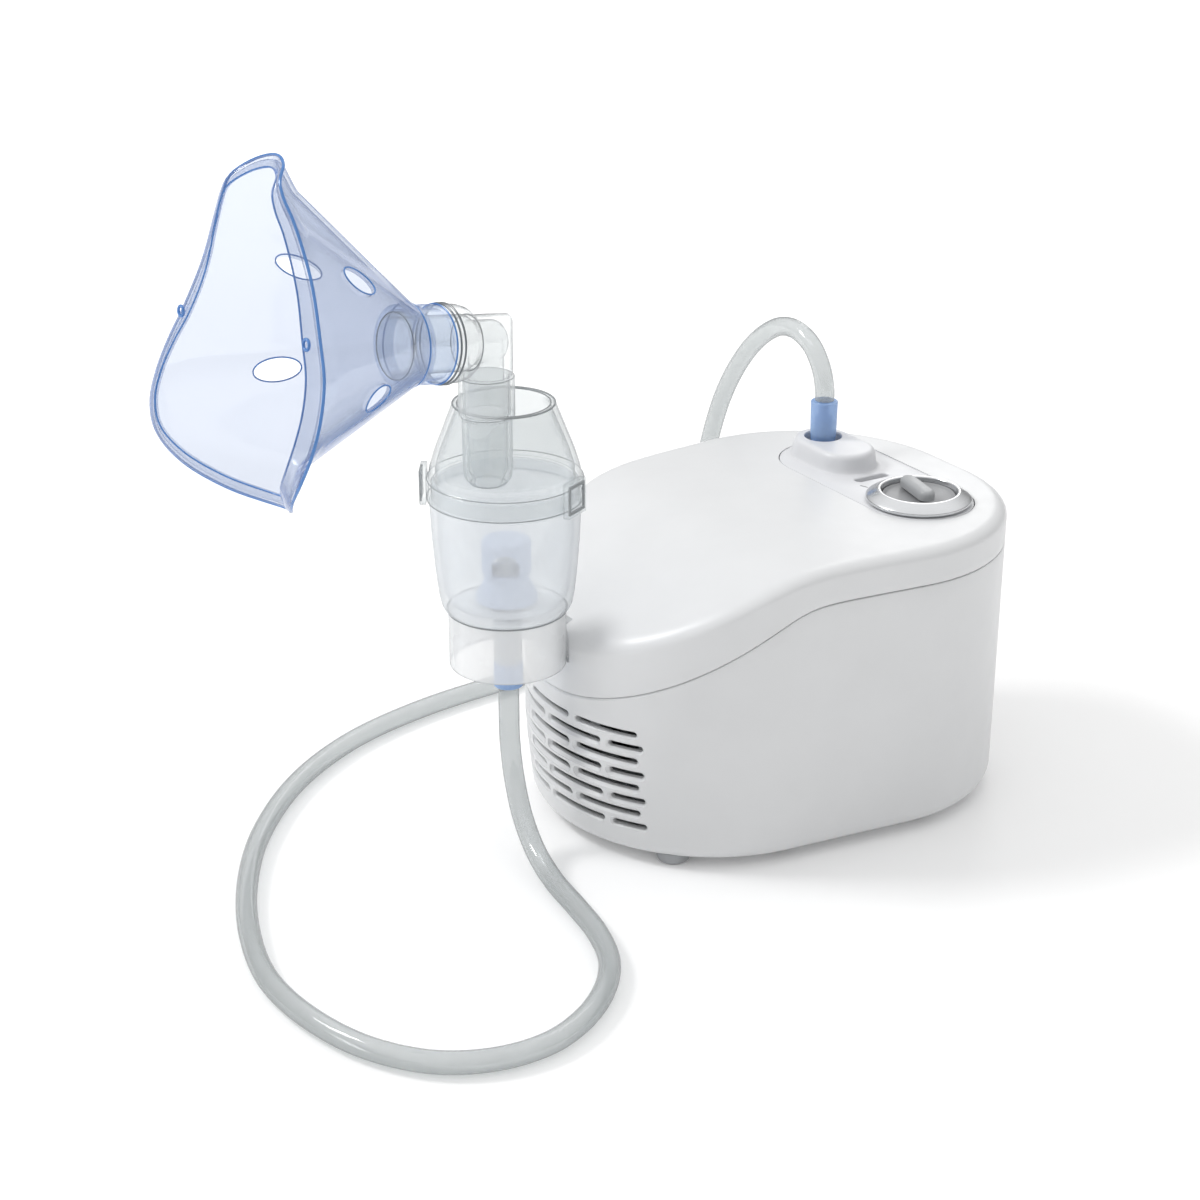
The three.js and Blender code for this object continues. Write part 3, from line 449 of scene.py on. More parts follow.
# ---------------------------------------------------------------- air tube
TUBE_R = 3.25
KIT_Y = -85.5
PANEL_Y = 50.45
OUTLET_X = -26.7
PLUG_R, PLUG_LENGTH, KIT_PLUG_Z, MACHINE_PLUG_Z = 4.5, 14.5, 54.8, 101.6
PLUG_COLLAR, PLUG_SPIGOT, PLUG_SPIGOT_R = 7.5, 16, 3
ROUTE = [
    (0, -85.5, KIT_PLUG_Z - GAP), (0, -85.5, 47), (0.3, -85.6, 37), (3.2, -85.9, 25), (9.6, -86.7, 14.4),
    (20, -88, 7.2), (34, -89.6, 4), (50, -91, 3.5), (66, -93.2, 3.5), (81, -98, 3.5), (93, -106.5, 3.5),
    (103, -119, 3.5), (108.5, -133, 3.5), (108, -148.5, 3.5), (101, -163.5, 3.5), (86, -176, 3.5),
    (65, -183.6, 3.5), (41, -185.8, 3.5), (15, -180.6, 3.5), (-12, -170, 3.5), (-39, -154, 3.5),
    (-66, -129.5, 3.5), (-84.5, -101, 3.5), (-94.5, -70, 3.5), (-99, -38, 3.5), (-101, -8, 3.5),
    (-102, 12, 5), (-102.6, 29, 10.5), (-103, 42.5, 24), (-102.6, 49.2, 45), (-98.4, 50.6, 73),
    (-87.5, 50.6, 101), (-73.5, 50.5, 120.6), (-61, 50.45, 131.2), (-51.5, 50.45, 135.6), (-42.6, 50.45, 136),
    (-34.6, 50.45, 132.8), (-29, 50.45, 126.4), (OUTLET_X, PANEL_Y, 119.4),
    (OUTLET_X, PANEL_Y, MACHINE_PLUG_Z + PLUG_LENGTH + GAP),
]


def spline(points, steps, closed=False):
    """Centripetal Catmull-Rom curve through the points, with that many steps a span."""
    p = [np.array(q, float) for q in points]
    if closed:
        p = [p[-1], *p, p[0], p[1]]
    else:
        p = [2 * p[0] - p[1], *p, 2 * p[-1] - p[-2]]
    out = []
    for p0, p1, p2, p3 in zip(p, p[1:], p[2:], p[3:]):
        gaps = [max(np.linalg.norm(b[:3] - a[:3]) ** 0.5, 1e-4) for a, b in ((p0, p1), (p1, p2), (p2, p3))]
        t1, t2, t3 = gaps[0], gaps[0] + gaps[1], sum(gaps)
        for k in range(steps):
            t = t1 + (t2 - t1) * k / steps
            a1 = (t1 - t) / t1 * p0 + t / t1 * p1
            a2 = (t2 - t) / (t2 - t1) * p1 + (t - t1) / (t2 - t1) * p2
            a3 = (t3 - t) / (t3 - t2) * p2 + (t - t2) / (t3 - t2) * p3
            b1 = (t2 - t) / t2 * a1 + t / t2 * a2
            b2 = (t3 - t) / (t3 - t1) * a2 + (t - t1) / (t3 - t1) * a3
            out.append((t2 - t) / (t2 - t1) * b1 + (t - t1) / (t2 - t1) * b2)
    if not closed:
        out.append(p[-2])
    return out


def air_tube():
    line = spline(ROUTE, 8)
    curve = bpy.data.curves.new("clear_air_tube", "CURVE")
    curve.dimensions = "3D"
    curve.bevel_depth = TUBE_R * MM
    curve.bevel_resolution = 8
    curve.use_fill_caps = True
    strand = curve.splines.new("POLY")
    strand.points.add(len(line) - 1)
    for point, place in zip(strand.points, line):
        point.co = (*at(*place), 1)
    obj = new_object("clear_air_tube", curve)
    length = sum(np.linalg.norm(b - a) for a, b in zip(line, line[1:])) * MM
    finished(obj, TUBE, "compressor", "tube_clear", "air_tube")
    return obj, length


tube, tube_length = air_tube()

machine_plug = finished(
    turned("soft_outlet_plug", rounded([
        (2.9, MACHINE_PLUG_Z), (PLUG_R - 0.4, MACHINE_PLUG_Z), (PLUG_R - 0.15, MACHINE_PLUG_Z + 3),
        (PLUG_R, MACHINE_PLUG_Z + PLUG_LENGTH), (1.6, MACHINE_PLUG_Z + PLUG_LENGTH),
        (1.6, MACHINE_PLUG_Z + 9), (2.9, MACHINE_PLUG_Z + 9), (2.9, MACHINE_PLUG_Z),
    ], 0.35)[:-1], (OUTLET_X, PANEL_Y), 64, closed=True),
    PLUG, "compressor", "plug_blue", "machine_tube_plug")
kit_plug = finished(
    turned("soft_kit_plug", rounded([
        (1.6, KIT_PLUG_Z), (PLUG_R, KIT_PLUG_Z), (PLUG_R, KIT_PLUG_Z + PLUG_COLLAR),
        (PLUG_SPIGOT_R, KIT_PLUG_Z + PLUG_COLLAR), (PLUG_SPIGOT_R, KIT_PLUG_Z + PLUG_SPIGOT),
        (1.6, KIT_PLUG_Z + PLUG_SPIGOT), (1.6, KIT_PLUG_Z),
    ], 0.35)[:-1], (0, KIT_Y), 64, closed=True),
    PLUG, "compressor", "plug_blue", "kit_tube_plug")


# ---------------------------------------------------------------- housing surfaces
SIDE = math.radians(-6.2)
TOP = (97.3, 0.56, -20.8, 7.0)
SEAM = (85.6, 0.6, -14.9, 4.0)
EDGE_ROUND, EDGE_DROP = 5, 3.4
SEAM_PUSH, TOP_PUSH = 70, 86
BODY_BOTTOM = 3
MIDDLE_Y = -3


def ramp(y, plateau, slope, knee_y, knee):
    return plateau - slope * knee * math.log1p(math.exp((knee_y - y) / knee))


def top_z(y):
    return ramp(y, *TOP)


def seam_z(y):
    return ramp(y, *SEAM)


def nose_push(z):
    return 3 * math.sin(math.pi * min(max((z - 2) / 110, 0), 1))


def outline(inset, push):
    """The compressor's plan, from the right of its back round to its right side."""
    def arc(cx, cy, r, start, stop, steps):
        return [(cx + (r - inset) * math.cos(start + (stop - start) * k / steps),
                 cy + (r - inset) * math.sin(start + (stop - start) * k / steps))
                for k in range(steps + 1)]

    def line(a, b, steps):
        return [(a[0] + (b[0] - a[0]) * k / steps, a[1] + (b[1] - a[1]) * k / steps)
                for k in range(1, steps)]

    back = arc(BACK_X, BACK_Y, BACK_R, SIDE, math.pi / 2, 26)
    left = arc(-BACK_X, BACK_Y, BACK_R, math.pi / 2, math.pi - SIDE, 26)
    nose = arc(0, NOSE_Y - push, NOSE_R, math.pi - SIDE, 2 * math.pi + SIDE, 80)
    middle = line(back[-1], left[0], 6)
    return back + middle + left + line(left[-1], nose[0], 14) + nose + line(nose[-1], back[0], 14)


def ring_at(inset, height, push_z):
    return [(x, y, height(y)) for x, y in outline(inset, nose_push(push_z))]


def between(ring_a, ring_b, shares):
    a, b = np.array(ring_a), np.array(ring_b)
    return [[tuple(p) for p in a + (b - a) * s] for s in shares]


def lower_skin(extra, floor, rise):
    """Rings from the middle of the floor out, over its rounding and up to the seam."""
    base = ring_at(extra + 5, lambda y: floor, floor)
    rings = [[(x * s, y * s, z) for x, y, z in base] for s in (0.3, 0.65)]
    for k in range(9):
        a = math.radians(90 * k / 8)
        up = 5 * (1 - math.cos(a))
        rings.append(ring_at(extra + 5 * (1 - math.sin(a)), lambda y, up=up: floor + up, floor + up))
    for share in [k / 14 for k in range(1, 14)]:
        z = floor + 5 + (seam_z(0) - floor - 5) * share
        rings.append(ring_at(extra, lambda y, s=share: floor + 5 + (seam_z(y) - floor - 5) * s, z))
    rings.append(ring_at(extra, lambda y: seam_z(y) + rise, SEAM_PUSH))
    return rings


VENT_ROWS, VENT_TOP, VENT_PITCH, VENT_HEIGHT = 8, 45.2, 4.55, 1.9
VENT_SLOT, VENT_GAP, VENT_HALF, VENT_CHAMFER = 23, 3, math.radians(38.5), 0.45


def vent_cutter(start, stop, z):
    """Slot with round ends, carried through the nose wall, flaring at the outer face."""
    cy = NOSE_Y - nose_push(z)

    def ring(r, grow):
        half = VENT_HEIGHT / 2 + grow
        low, high = start * NOSE_R + VENT_HEIGHT / 2, stop * NOSE_R - VENT_HEIGHT / 2
        flat = []
        for k in range(9):
            a = math.radians(-90 + 180 * k / 8)
            flat.append((high + half * math.cos(a), half * math.sin(a)))
        flat += [(high + (low - high) * k / 8, half) for k in range(1, 8)]
        for k in range(9):
            a = math.radians(90 + 180 * k / 8)
            flat.append((low + half * math.cos(a), half * math.sin(a)))
        flat += [(low + (high - low) * k / 8, -half) for k in range(1, 8)]
        return [(r * math.sin(s / NOSE_R), cy - r * math.cos(s / NOSE_R), z + dz) for s, dz in flat]

    flare = 2 * VENT_CHAMFER
    layers = ((-6, 0), (-VENT_CHAMFER, 0), (VENT_CHAMFER, flare), (4, flare))
    return loft("vent", [ring(NOSE_R + depth, grow) for depth, grow in layers])


def vent_cutters():
    found = []
    slot, gap = VENT_SLOT / NOSE_R, VENT_GAP / NOSE_R
    for row in range(VENT_ROWS):
        start = -VENT_HALF
        length = (slot - gap) / 2 if row % 2 else slot
        while start < VENT_HALF - math.radians(3):
            stop = min(start + length, VENT_HALF)
            found.append(vent_cutter(start, stop, VENT_TOP - row * VENT_PITCH))
            start, length = stop + gap, slot
    return merged("vents", found)


def lower_housing():
    outer = lower_skin(0, BODY_BOTTOM, -0.45)
    edge = [ring_at(inset, lambda y, d=down: seam_z(y) - d, SEAM_PUSH)
            for inset, down in ((0.14, 0.14), (0.45, 0))]
    inner = lower_skin(WALL, BODY_BOTTOM + WALL, 0)
    shell = loft("housing_shell", outer + edge + inner[::-1])
    feet = [turned("pocket", [(0, 0), (5.8, 0), (5.8, BODY_BOTTOM + 1.2), (0, BODY_BOTTOM + 1.2)], foot, 48)
            for foot in FEET]
    screws = [turned("bore", [(0, 0), (3.5, 0), (3.5, 16), (0, 16)], post, 32) for post in POSTS]
    inlet = block("inlet_hole", (-11.4, 70, INLET_Z - 7), (11.4, 95, INLET_Z + 7))
    return cut(shell, merged("holes", feet + screws + [inlet]), vent_cutters())


def cover_skin(extra, sink, start):
    """Rings from near the seam up the side, over the rounding and in to the middle of the top."""
    low = ring_at(extra, lambda y: seam_z(y) + start, SEAM_PUSH)
    rounding = []
    for k in range(11):
        a = math.radians(9 * k)
        inset, drop = EDGE_ROUND * (1 - math.cos(a)), EDGE_DROP * (1 - math.sin(a))
        rounding.append(ring_at(extra + inset, lambda y, d=drop: top_z(y) - d - sink, TOP_PUSH))
    rings = [low, *between(low, rounding[0], (0.25, 0.5, 0.75)), *rounding]
    for inset in (7.5, 10.5, 14, 18, 22.5, 27, 32):
        rings.append(ring_at(extra + inset, lambda y: top_z(y) - sink, TOP_PUSH))
    last = rings[-1]
    for share in (0.85, 0.7, 0.55, 0.4, 0.25, 0.1):
        rings.append([(x * share, MIDDLE_Y + (y - MIDDLE_Y) * share,
                       top_z(MIDDLE_Y + (y - MIDDLE_Y) * share) - sink) for x, y, _ in last])
    return rings


SKIRT_R, SKIRT_BOTTOM = 17.9, 62.8
POCKET_R = SKIRT_R + 0.7
RAIL_Y = KIT_Y + SKIRT_R
PANEL_LEFT, PANEL_RIGHT, PANEL_R = -21.2, 25.5, 17.6
POSTS = [(-46, -16), (46, -16), (-51, 34), (51, 34)]
FEET = [(-35, -47), (35, -47), (-46, 53), (46, 53)]
INLET_Z = 22


def upright(name, centre, r, z0, z1, segments=96):
    return turned(name, [(0, z0), (r, z0), (r, z1), (0, z1)], centre, segments)


def top_cover():
    edge = [ring_at(inset, lambda y, d=up: seam_z(y) + GAP + d, SEAM_PUSH)
            for inset, up in ((0.45, 0), (0.14, 0.14))]
    outer = edge + cover_skin(0, 0, GAP + 0.45)
    inner = cover_skin(WALL, WALL + 0.2, GAP)
    shell = loft("cover_shell", inner[::-1] + outer)
    filled = loft("filled", outer)
    pad = join(upright("pad", (0, KIT_Y), POCKET_R + WALL, 40, 110),
               block("back", (-7, KIT_Y + POCKET_R - 2, 40), (7, KIT_Y + POCKET_R + 8, 110)))
    pad = common(pad, filled)
    window = stadium("window", PANEL_LEFT, PANEL_RIGHT, PANEL_Y, PANEL_R + GAP, 85, 110)
    pocket = upright("pocket", (0, KIT_Y), POCKET_R, SKIRT_BOTTOM - GAP, 110, 128)
    slot = join(block("neck", (-1.6, RAIL_Y - 1, SKIRT_BOTTOM - GAP), (1.6, RAIL_Y + 2, 110)),
                block("head", (-2.8, RAIL_Y + 1.2, SKIRT_BOTTOM - GAP), (2.8, RAIL_Y + 3.4, 110)))
    return cut(join(shell, pad), window, pocket, slot)


finished(lower_housing(), WHITE, "compressor", "housing_white", "lower_housing", angle=28)
finished(top_cover(), WHITE, "compressor", "housing_white", "top_cover", angle=28)

for k, (x, y) in enumerate(FEET, 1):
    foot = turned(f"grey_foot_{k}", rounded([
        (0, 0), (4.6, 0), (5.2, 0.7), (5.4, 3.9), (0, 3.9)], 0.4), (x, y), 48)
    finished(foot, FOOT, "compressor", "foot_rubber", f"foot_{k}")


# ---------------------------------------------------------------- control panel and dial
PLATE_TOP = 97.3
POD_X1, POD_R, NOZZLE_HOLE_R = -14, 10, 6.2
DIAL_X, DIAL_R, DISH_R, POINTER = 25.5, 17, 11.6, math.radians(168)
LATCH_X, LATCH_Y = 0.5, 50.6


def control_panel():
    rings = [stadium_ring(PANEL_LEFT, PANEL_RIGHT, PANEL_Y, PANEL_R - down, z) for down, z in (
        (0.2, 92.6), (0.2, 94.9), (0, 95), (0, PLATE_TOP - 0.35), (0.1, PLATE_TOP - 0.1), (0.35, PLATE_TOP))]
    fillet = [(2.4, 0), (1.6, 0.08), (0.9, 0.4), (0.45, 1.0), (0.25, 2.0), (0, 4.0), (-0.15, 4.9),
              (-0.5, 5.7), (-1.1, 6.2), (-1.8, 6.44), (-2.6, 6.5)]
    rings += [stadium_ring(OUTLET_X, POD_X1, PANEL_Y, POD_R + grow, PLATE_TOP + up) for grow, up in fillet]
    plate = loft("panel_plate", rings)
    nozzle = turned("hole", [
        (0, 85), (NOZZLE_HOLE_R, 85), (NOZZLE_HOLE_R, 103.4), (NOZZLE_HOLE_R + 0.5, 104.2), (0, 104.2),
    ], (OUTLET_X, PANEL_Y), 64)
    shaft = upright("shaft_hole", (DIAL_X, PANEL_Y), 4.5, 85, 110, 48)
    latch = loft("latch", [[(LATCH_X - v, LATCH_Y + u, z) for u, v, z in stadium_ring(-4.8, 4.8, 0, r, h)]
                           for r, h in ((1.7, 85), (1.7, PLATE_TOP - 0.3), (2.1, PLATE_TOP + 0.1))])
    return cut(plate, nozzle, shaft, latch)


finished(control_panel(), PANEL, "compressor", "panel_white", "control_panel", angle=28)

finished(turned("blue_outlet_nozzle", rounded([
    (1.2, 89.4), (8, 89.4), (8, 92.3), (3.4, 92.3), (3.4, 97), (2.5, 98), (2.2, 108), (1.2, 108), (1.2, 89.4),
], 0.3)[:-1], (OUTLET_X, PANEL_Y), 48, closed=True), NOZZLE, "compressor", "nozzle_blue", "air_outlet_nozzle")

finished(turned("silver_dial_ring", rounded([
    (DISH_R + 0.3, 97.7), (DIAL_R - 0.5, 97.7), (DIAL_R, 98.1), (DIAL_R, 98.9), (DIAL_R - 1.1, 99.7),
    (DISH_R + 1.5, 101.2), (DISH_R + 0.5, 101.1), (DISH_R + 0.3, 99.6), (DISH_R + 0.3, 97.7),
], 0.45)[:-1], (DIAL_X, PANEL_Y), 128, closed=True), SILVER, "dial", "dial_silver", "dial_ring")

finished(turned("grey_dial_dish", rounded([
    (0, 90), (3, 90), (3.8, 91), (3.8, 97.6), (DISH_R, 97.7), (DISH_R, 99.6), (10.4, 98.95), (6, 98.5),
    (0, 98.4),
], 0.3), (DIAL_X, PANEL_Y), 128), DIAL_GREY, "dial", "dial_grey", "dial_knob")


def dial_grip():
    layers = [(2.6, 99.65), (2.7, 100.2), (2.7, 101.1), (2.62, 101.7), (2.4, 102.25), (2.0, 102.6),
              (1.3, 102.8)]
    grip = loft("grey_dial_grip", [stadium_ring(-5.2, 7.6, 0, r, z) for r, z in layers])
    return placed(grip, Matrix.Translation((DIAL_X, PANEL_Y, 0)) @ Matrix.Rotation(POINTER, 4, "Z"))


finished(dial_grip(), GRIP_GREY, "dial", "grip_grey", "dial_grip")


def printed(name, outer, inner, centre):
    """Thin printed ring or bar on the panel, from an outer and, for a ring, an inner outline."""
    z0, z1 = PLATE_TOP - 0.05, PLATE_TOP + 0.05
    cx, cy = centre

    def ring(points, z):
        return [(cx + x, cy + y, z) for x, y in points]

    if inner is None:
        return loft(name, [ring(outer, z0), ring(outer, z1)])
    return loft(name, [ring(outer, z0), ring(outer, z1), ring(inner, z1), ring(inner, z0)], loop=True)


def circle(r, steps=40):
    turns = [2 * math.pi * k / steps for k in range(steps)]
    return [(r * math.cos(t), r * math.sin(t)) for t in turns]


def bar_outline(half_length, half_width, turn):
    corners = [(half_length, -half_width), (half_length, half_width), (-half_length, half_width),
               (-half_length, -half_width)]
    c, s = math.cos(turn), math.sin(turn)
    return [(x * c - y * s, x * s + y * c) for x, y in corners]


def mark_place(angle, radius):
    return (DIAL_X + radius * math.cos(angle), PANEL_Y + radius * math.sin(angle))


OFF_ANGLE, ON_ANGLE = math.radians(156.5), math.radians(200.5)
finished(printed("off_mark", circle(1.25), circle(0.8), mark_place(OFF_ANGLE, 21.3)),
         MARK, "compressor", "dial_grey")
finished(printed("on_mark", bar_outline(1.4, 0.25, ON_ANGLE), None, mark_place(ON_ANGLE, 20.6)),
         MARK, "compressor", "dial_grey")


# ---------------------------------------------------------------- nebulizer kit
KIT = (0, KIT_Y)
FLOOR_Z, COLLAR_Z0, COLLAR_Z1, RIM_TOP = 81.4, 116.8, 122.9, 146
CAP_TURN = math.radians(33)
CHIMNEY_OUT = 10.2
CHIMNEY = (CHIMNEY_OUT * math.sin(CAP_TURN), KIT_Y - CHIMNEY_OUT * math.cos(CAP_TURN))


def about_kit(obj, angle):
    return placed(obj, Matrix.Translation((0, KIT_Y, 0)) @ Matrix.Rotation(angle, 4, "Z")
                  @ Matrix.Translation((0, -KIT_Y, 0)))


def hoop(name, radius, z, thick, centre=(0, KIT_Y)):
    """Thin ring about an upright axis."""
    profile = [(radius + dr, z + dz) for dr, dz in circle(thick, 10)]
    return turned(name, profile, centre, 128, closed=True)


def medicine_cup():
    profile = [
        (2.7, 79.6), (16.6, 79.6), (17.6, 80.6), (18.8, FLOOR_Z), (19.7, 82.8), (20.4, 86), (21.2, 93),
        (22.1, 104), (22.7, 116.2), (21.7, 116.6), (21.7, 121.4), (20.4, 121.4), (20.4, 104), (19.5, 93),
        (18.7, 86.5), (16.8, 83.4), (7, 82.6), (3.6, 87), (2.6, 97), (1.4, 97), (1.4, 79.6), (2.7, 79.6)]
    return turned("frosted_cup", rounded(profile, 1.2)[:-1], KIT, 128, closed=True)


def cup_skirt():
    profile = [(16.4, SKIRT_BOTTOM), (SKIRT_R, SKIRT_BOTTOM), (SKIRT_R, 80.6), (17.3, 80.5), (16.4, 79.5),
               (16.4, SKIRT_BOTTOM)]
    skirt = turned("clear_skirt", rounded(profile, 0.35)[:-1], KIT, 128, closed=True)
    neck = block("neck", (-1.2, RAIL_Y - 0.6, SKIRT_BOTTOM), (1.2, RAIL_Y + 1.8, 70.6))
    head = block("head", (-2.4, RAIL_Y + 1.6, SKIRT_BOTTOM), (2.4, RAIL_Y + 3, 70.6))
    return join(skirt, neck, head)


def cup_stem():
    profile = [(3.3, SKIRT_BOTTOM), (4.3, SKIRT_BOTTOM), (4.4, 79.5), (1.2, 79.5), (1.2, 71.5), (3.3, 71.5),
               (3.3, SKIRT_BOTTOM)]
    return turned("cup_stem", rounded(profile, 0.3)[:-1], KIT, 64, closed=True)


finished(medicine_cup(), CUP, "kit", "cup_frosted", "medicine_cup")
finished(cup_skirt(), SKIRT, "kit", "cup_frosted")
finished(cup_stem(), STEM, "kit", "cup_frosted")


HEAD_TURN = math.radians(59)


def vaporizer_head():
    """Hood over the cup's nozzle, with an arch cut through it."""
    hood = turned("pale_vaporizer_head", rounded([
        (0, 100.4), (4.9, 100.4), (4.9, 91.5), (8.2, 84.4), (8.2, 83.6), (9.6, 83.6), (9.2, 85.4), (6.4, 91),
        (7.5, 92.5), (7.5, 102.3), (6.8, 103), (0, 103)], 0.6), KIT, 96)
    steps = 16
    outline_points = [(4.2, 92.8), (4.2, 96)]
    outline_points += [(4.2 * math.cos(math.pi * k / steps), 96 + 4.2 * math.sin(math.pi * k / steps))
                       for k in range(1, steps)]
    outline_points += [(-4.2, 96), (-4.2, 92.8)]
    arch = loft("arch", [[(x, KIT_Y - y, z) for x, z in outline_points] for y in (-12, 12)])
    return cut(hood, about_kit(arch, HEAD_TURN))


finished(vaporizer_head(), HEAD, "kit", "head_pale_blue", "vaporizer_head")


TAB_TURNS = math.radians(-5), math.radians(206)


def cap_cone():
    profile = [
        (22.1, COLLAR_Z0), (23.5, COLLAR_Z0), (23.5, COLLAR_Z1), (22.8, COLLAR_Z1 + 0.3), (22.4, 126),
        (20.9, 131), (15.5, 145), (15.2, RIM_TOP), (13.7, RIM_TOP), (13.8, 145), (19.3, 131), (20.7, 126),
        (20.8, 122.3), (22.1, 121.8), (22.1, COLLAR_Z0)]
    cone = turned("clear_cap", rounded(profile, 0.5)[:-1], KIT, 128, closed=True)
    tabs = []
    for turn in TAB_TURNS:
        tab = block("tab", (23.2, KIT_Y - 5, 115.4), (25.2, KIT_Y + 5, 126))
        window = block("tab_window", (24.5, KIT_Y - 3.4, 117.2), (26, KIT_Y + 3.4, 124.2))
        tabs.append(about_kit(bevelled(cut(tab, window), 0.4), CAP_TURN + turn))
    return join(cone, *tabs)


def tab_frame(name, turn):
    """Raised rim of a tab's recess; its grey is painted shade for the dark outline that refraction gives the
    clear tab.
    """
    frame_bar = cut(block(name, (24.6, KIT_Y - 4.1, 116.3), (25.24, KIT_Y + 4.1, 125.1)),
                    block("frame_hole", (24, KIT_Y - 3.4, 117.2), (26, KIT_Y + 3.4, 124.2)))
    return about_kit(bevelled(frame_bar, 0.12), CAP_TURN + turn)


def cap_chimney():
    profile = [
        (4.5, 124.1), (5.6, 124.3), (6.9, 126.1), (7.3, 128.5), (7.3, 144.1), (8.2, 145.1), (8.2, 156.8),
        (6.9, 156.8), (6.9, 145.5), (5.9, 144.9), (5.9, 128.5), (4.5, 125.5), (4.2, 124.1)]
    return turned("frosted_chimney", rounded(profile, 0.4), CHIMNEY, 96, closed=True)


finished(cap_cone(), CAP, "cap", "cap_clear", "inhalation_cap")
finished(cap_chimney(), SLEEVE, "cap", "cap_clear")
for side, turn in zip(("right", "left"), TAB_TURNS):
    finished(tab_frame(f"{side}_tab_frame", turn), RIM_SHADE, "cap", "cap_clear")
# These hoops are thin grey rings of painted shade along the rims of the cap, chimney, cup and skirt, where
# refraction makes the clear plastic look dark.
for label, radius, z, thick, centre, body, slot in (
        ("rim_outer_edge", 15.05, RIM_TOP - 0.3, 0.3, KIT, "cap", "cap_clear"),
        ("rim_inner_edge", 13.8, RIM_TOP - 0.25, 0.2, KIT, "cap", "cap_clear"),
        ("collar_top_edge", 23.2, COLLAR_Z1, 0.14, KIT, "cap", "cap_clear"),
        ("collar_lower_edge", 23.35, COLLAR_Z0 + 0.1, 0.16, KIT, "cap", "cap_clear"),
        ("chimney_lower_edge", 5.2, 124.3, 0.2, CHIMNEY, "cap", "cap_clear"),
        ("sleeve_top_edge", 8.05, 156.65, 0.12, CHIMNEY, "cap", "cap_clear"),
        ("sleeve_lower_edge", 8.0, 145.2, 0.12, CHIMNEY, "cap", "cap_clear"),
        ("cup_lower_edge", 18.1, 80.9, 0.35, KIT, "kit", "cup_frosted"),
        ("skirt_lower_edge", 17.65, SKIRT_BOTTOM + 0.2, 0.12, KIT, "kit", "cup_frosted")):
    finished(hoop(label, radius, z, thick, centre), RIM_SHADE, body, slot)


# ---------------------------------------------------------------- right-angle adapter
ARM_Z, ARM_R = 166.8, 8
YAW, PITCH = math.radians(7), math.radians(8)
FLANGE, FLANGE_R, SPIGOT_R, ARM_END = 14.6, 11.5, 9.8, 31
outwards = Vector((math.sin(YAW) * math.cos(PITCH), -math.cos(YAW) * math.cos(PITCH), math.sin(PITCH)))
sideways = Vector((math.cos(YAW), math.sin(YAW), 0))
ARM_AXES = Matrix((sideways, outwards.cross(sideways), outwards)).transposed()
ARM = Matrix.Translation((*CHIMNEY, ARM_Z)) @ ARM_AXES.to_4x4()


def along_arm(obj):
    """Moves a lathed piece made about the machine's own axis to the arm's axis."""
    return placed(obj, ARM)


def angle_adapter():
    riser = turned("clear_adapter", [
        (0, 146), (6.4, 146), (6.6, 157.1), (7.4, 157.1), (7.8, 157.5), (7.8, ARM_Z), (0, ARM_Z),
    ], CHIMNEY, 96)
    back = common(along_arm(turned("arm_back", [(0, -12), (ARM_R, -12), (ARM_R, 1), (0, 1)], (0, 0), 96)),
                  upright("corner", CHIMNEY, 7.8, ARM_Z - 12, ARM_Z + 12))
    arm = along_arm(turned("arm", rounded([
        (0, -0.5), (ARM_R, -0.5), (ARM_R, 6.4), (9.4, 7.2), (10.6, 9), (11.2, 11.5), (11.3, FLANGE - 0.3),
        (FLANGE_R, FLANGE), (FLANGE_R, FLANGE + 1.8), (SPIGOT_R, FLANGE + 1.8), (SPIGOT_R - 0.3, ARM_END),
        (0, ARM_END)], 0.5), (0, 0), 96))
    riser_bore = turned("riser_bore", [(0, 145), (5.2, 145), (5.2, ARM_Z), (0, ARM_Z)], CHIMNEY, 64)
    arm_bore = along_arm(turned("arm_bore", rounded([
        (0, -5), (4.4, -5), (6, -3.4), (6.4, -2), (6.4, 5.4), (8.2, 8.4), (8.2, ARM_END + 1),
        (0, ARM_END + 1)], 0.5), (0, 0), 64))
    return cut(join(riser, arm, bevelled(back, 2.2, 5, 50)), join(riser_bore, arm_bore))


finished(angle_adapter(), ADAPTER, "adapter", "cap_clear", "angle_adapter")
# Dark rings of painted shade along the flange, shoulder and spigot, where refraction makes the clear
# adapter's rims look dark.
for label, radius, along, thick in (("flange_front_edge", FLANGE_R - 0.1, FLANGE + 1.65, 0.3),
                                    ("flange_rear_edge", FLANGE_R - 0.1, FLANGE + 0.15, 0.3),
                                    ("shoulder_edge", ARM_R, 6.5, 0.16),
                                    ("spigot_edge", SPIGOT_R - 0.4, ARM_END - 0.2, 0.2)):
    finished(along_arm(hoop(label, radius, along, thick, (0, 0))), DARK_EDGE, "adapter", "cap_clear")


# ---------------------------------------------------------------- face mask
MASK_ROLL = math.radians(5)
NECK_START, NECK_END, NECK_R, MASK_WALL, COLLAR_END = 17.3, 24.5, 11.3, 1.2, 30.5
FLANGE_AT = 0.88
MASK_EDGE = [
    (0, 51.8, 70.4, 3.2), (7.5, 50, 72.4, 3.2), (12.6, 45.6, 76.4, 3.2), (15.6, 41.5, 76.8, 3.6),
    (19.3, 36.6, 76.2, 4), (27.5, 22.6, 75.6, 5), (35.6, 7.6, 77.3, 5.8), (40.6, -1.6, 79, 6),
    (43, -11, 81.3, 6), (42.6, -19.4, 83.2, 6), (38.4, -27.2, 83.6, 5.4), (30, -33.8, 80.8, 4.8),
    (17, -39.6, 73.6, 4), (0, -42.8, 64.8, 3.4),
]
MASK_LIP = ((0.08, 0.5), (0.2, 0.95), (0.45, 1.3), (0.75, 1.6), (1, 1.8))
MASK_SIDES, NECK_RINGS = 160, 6


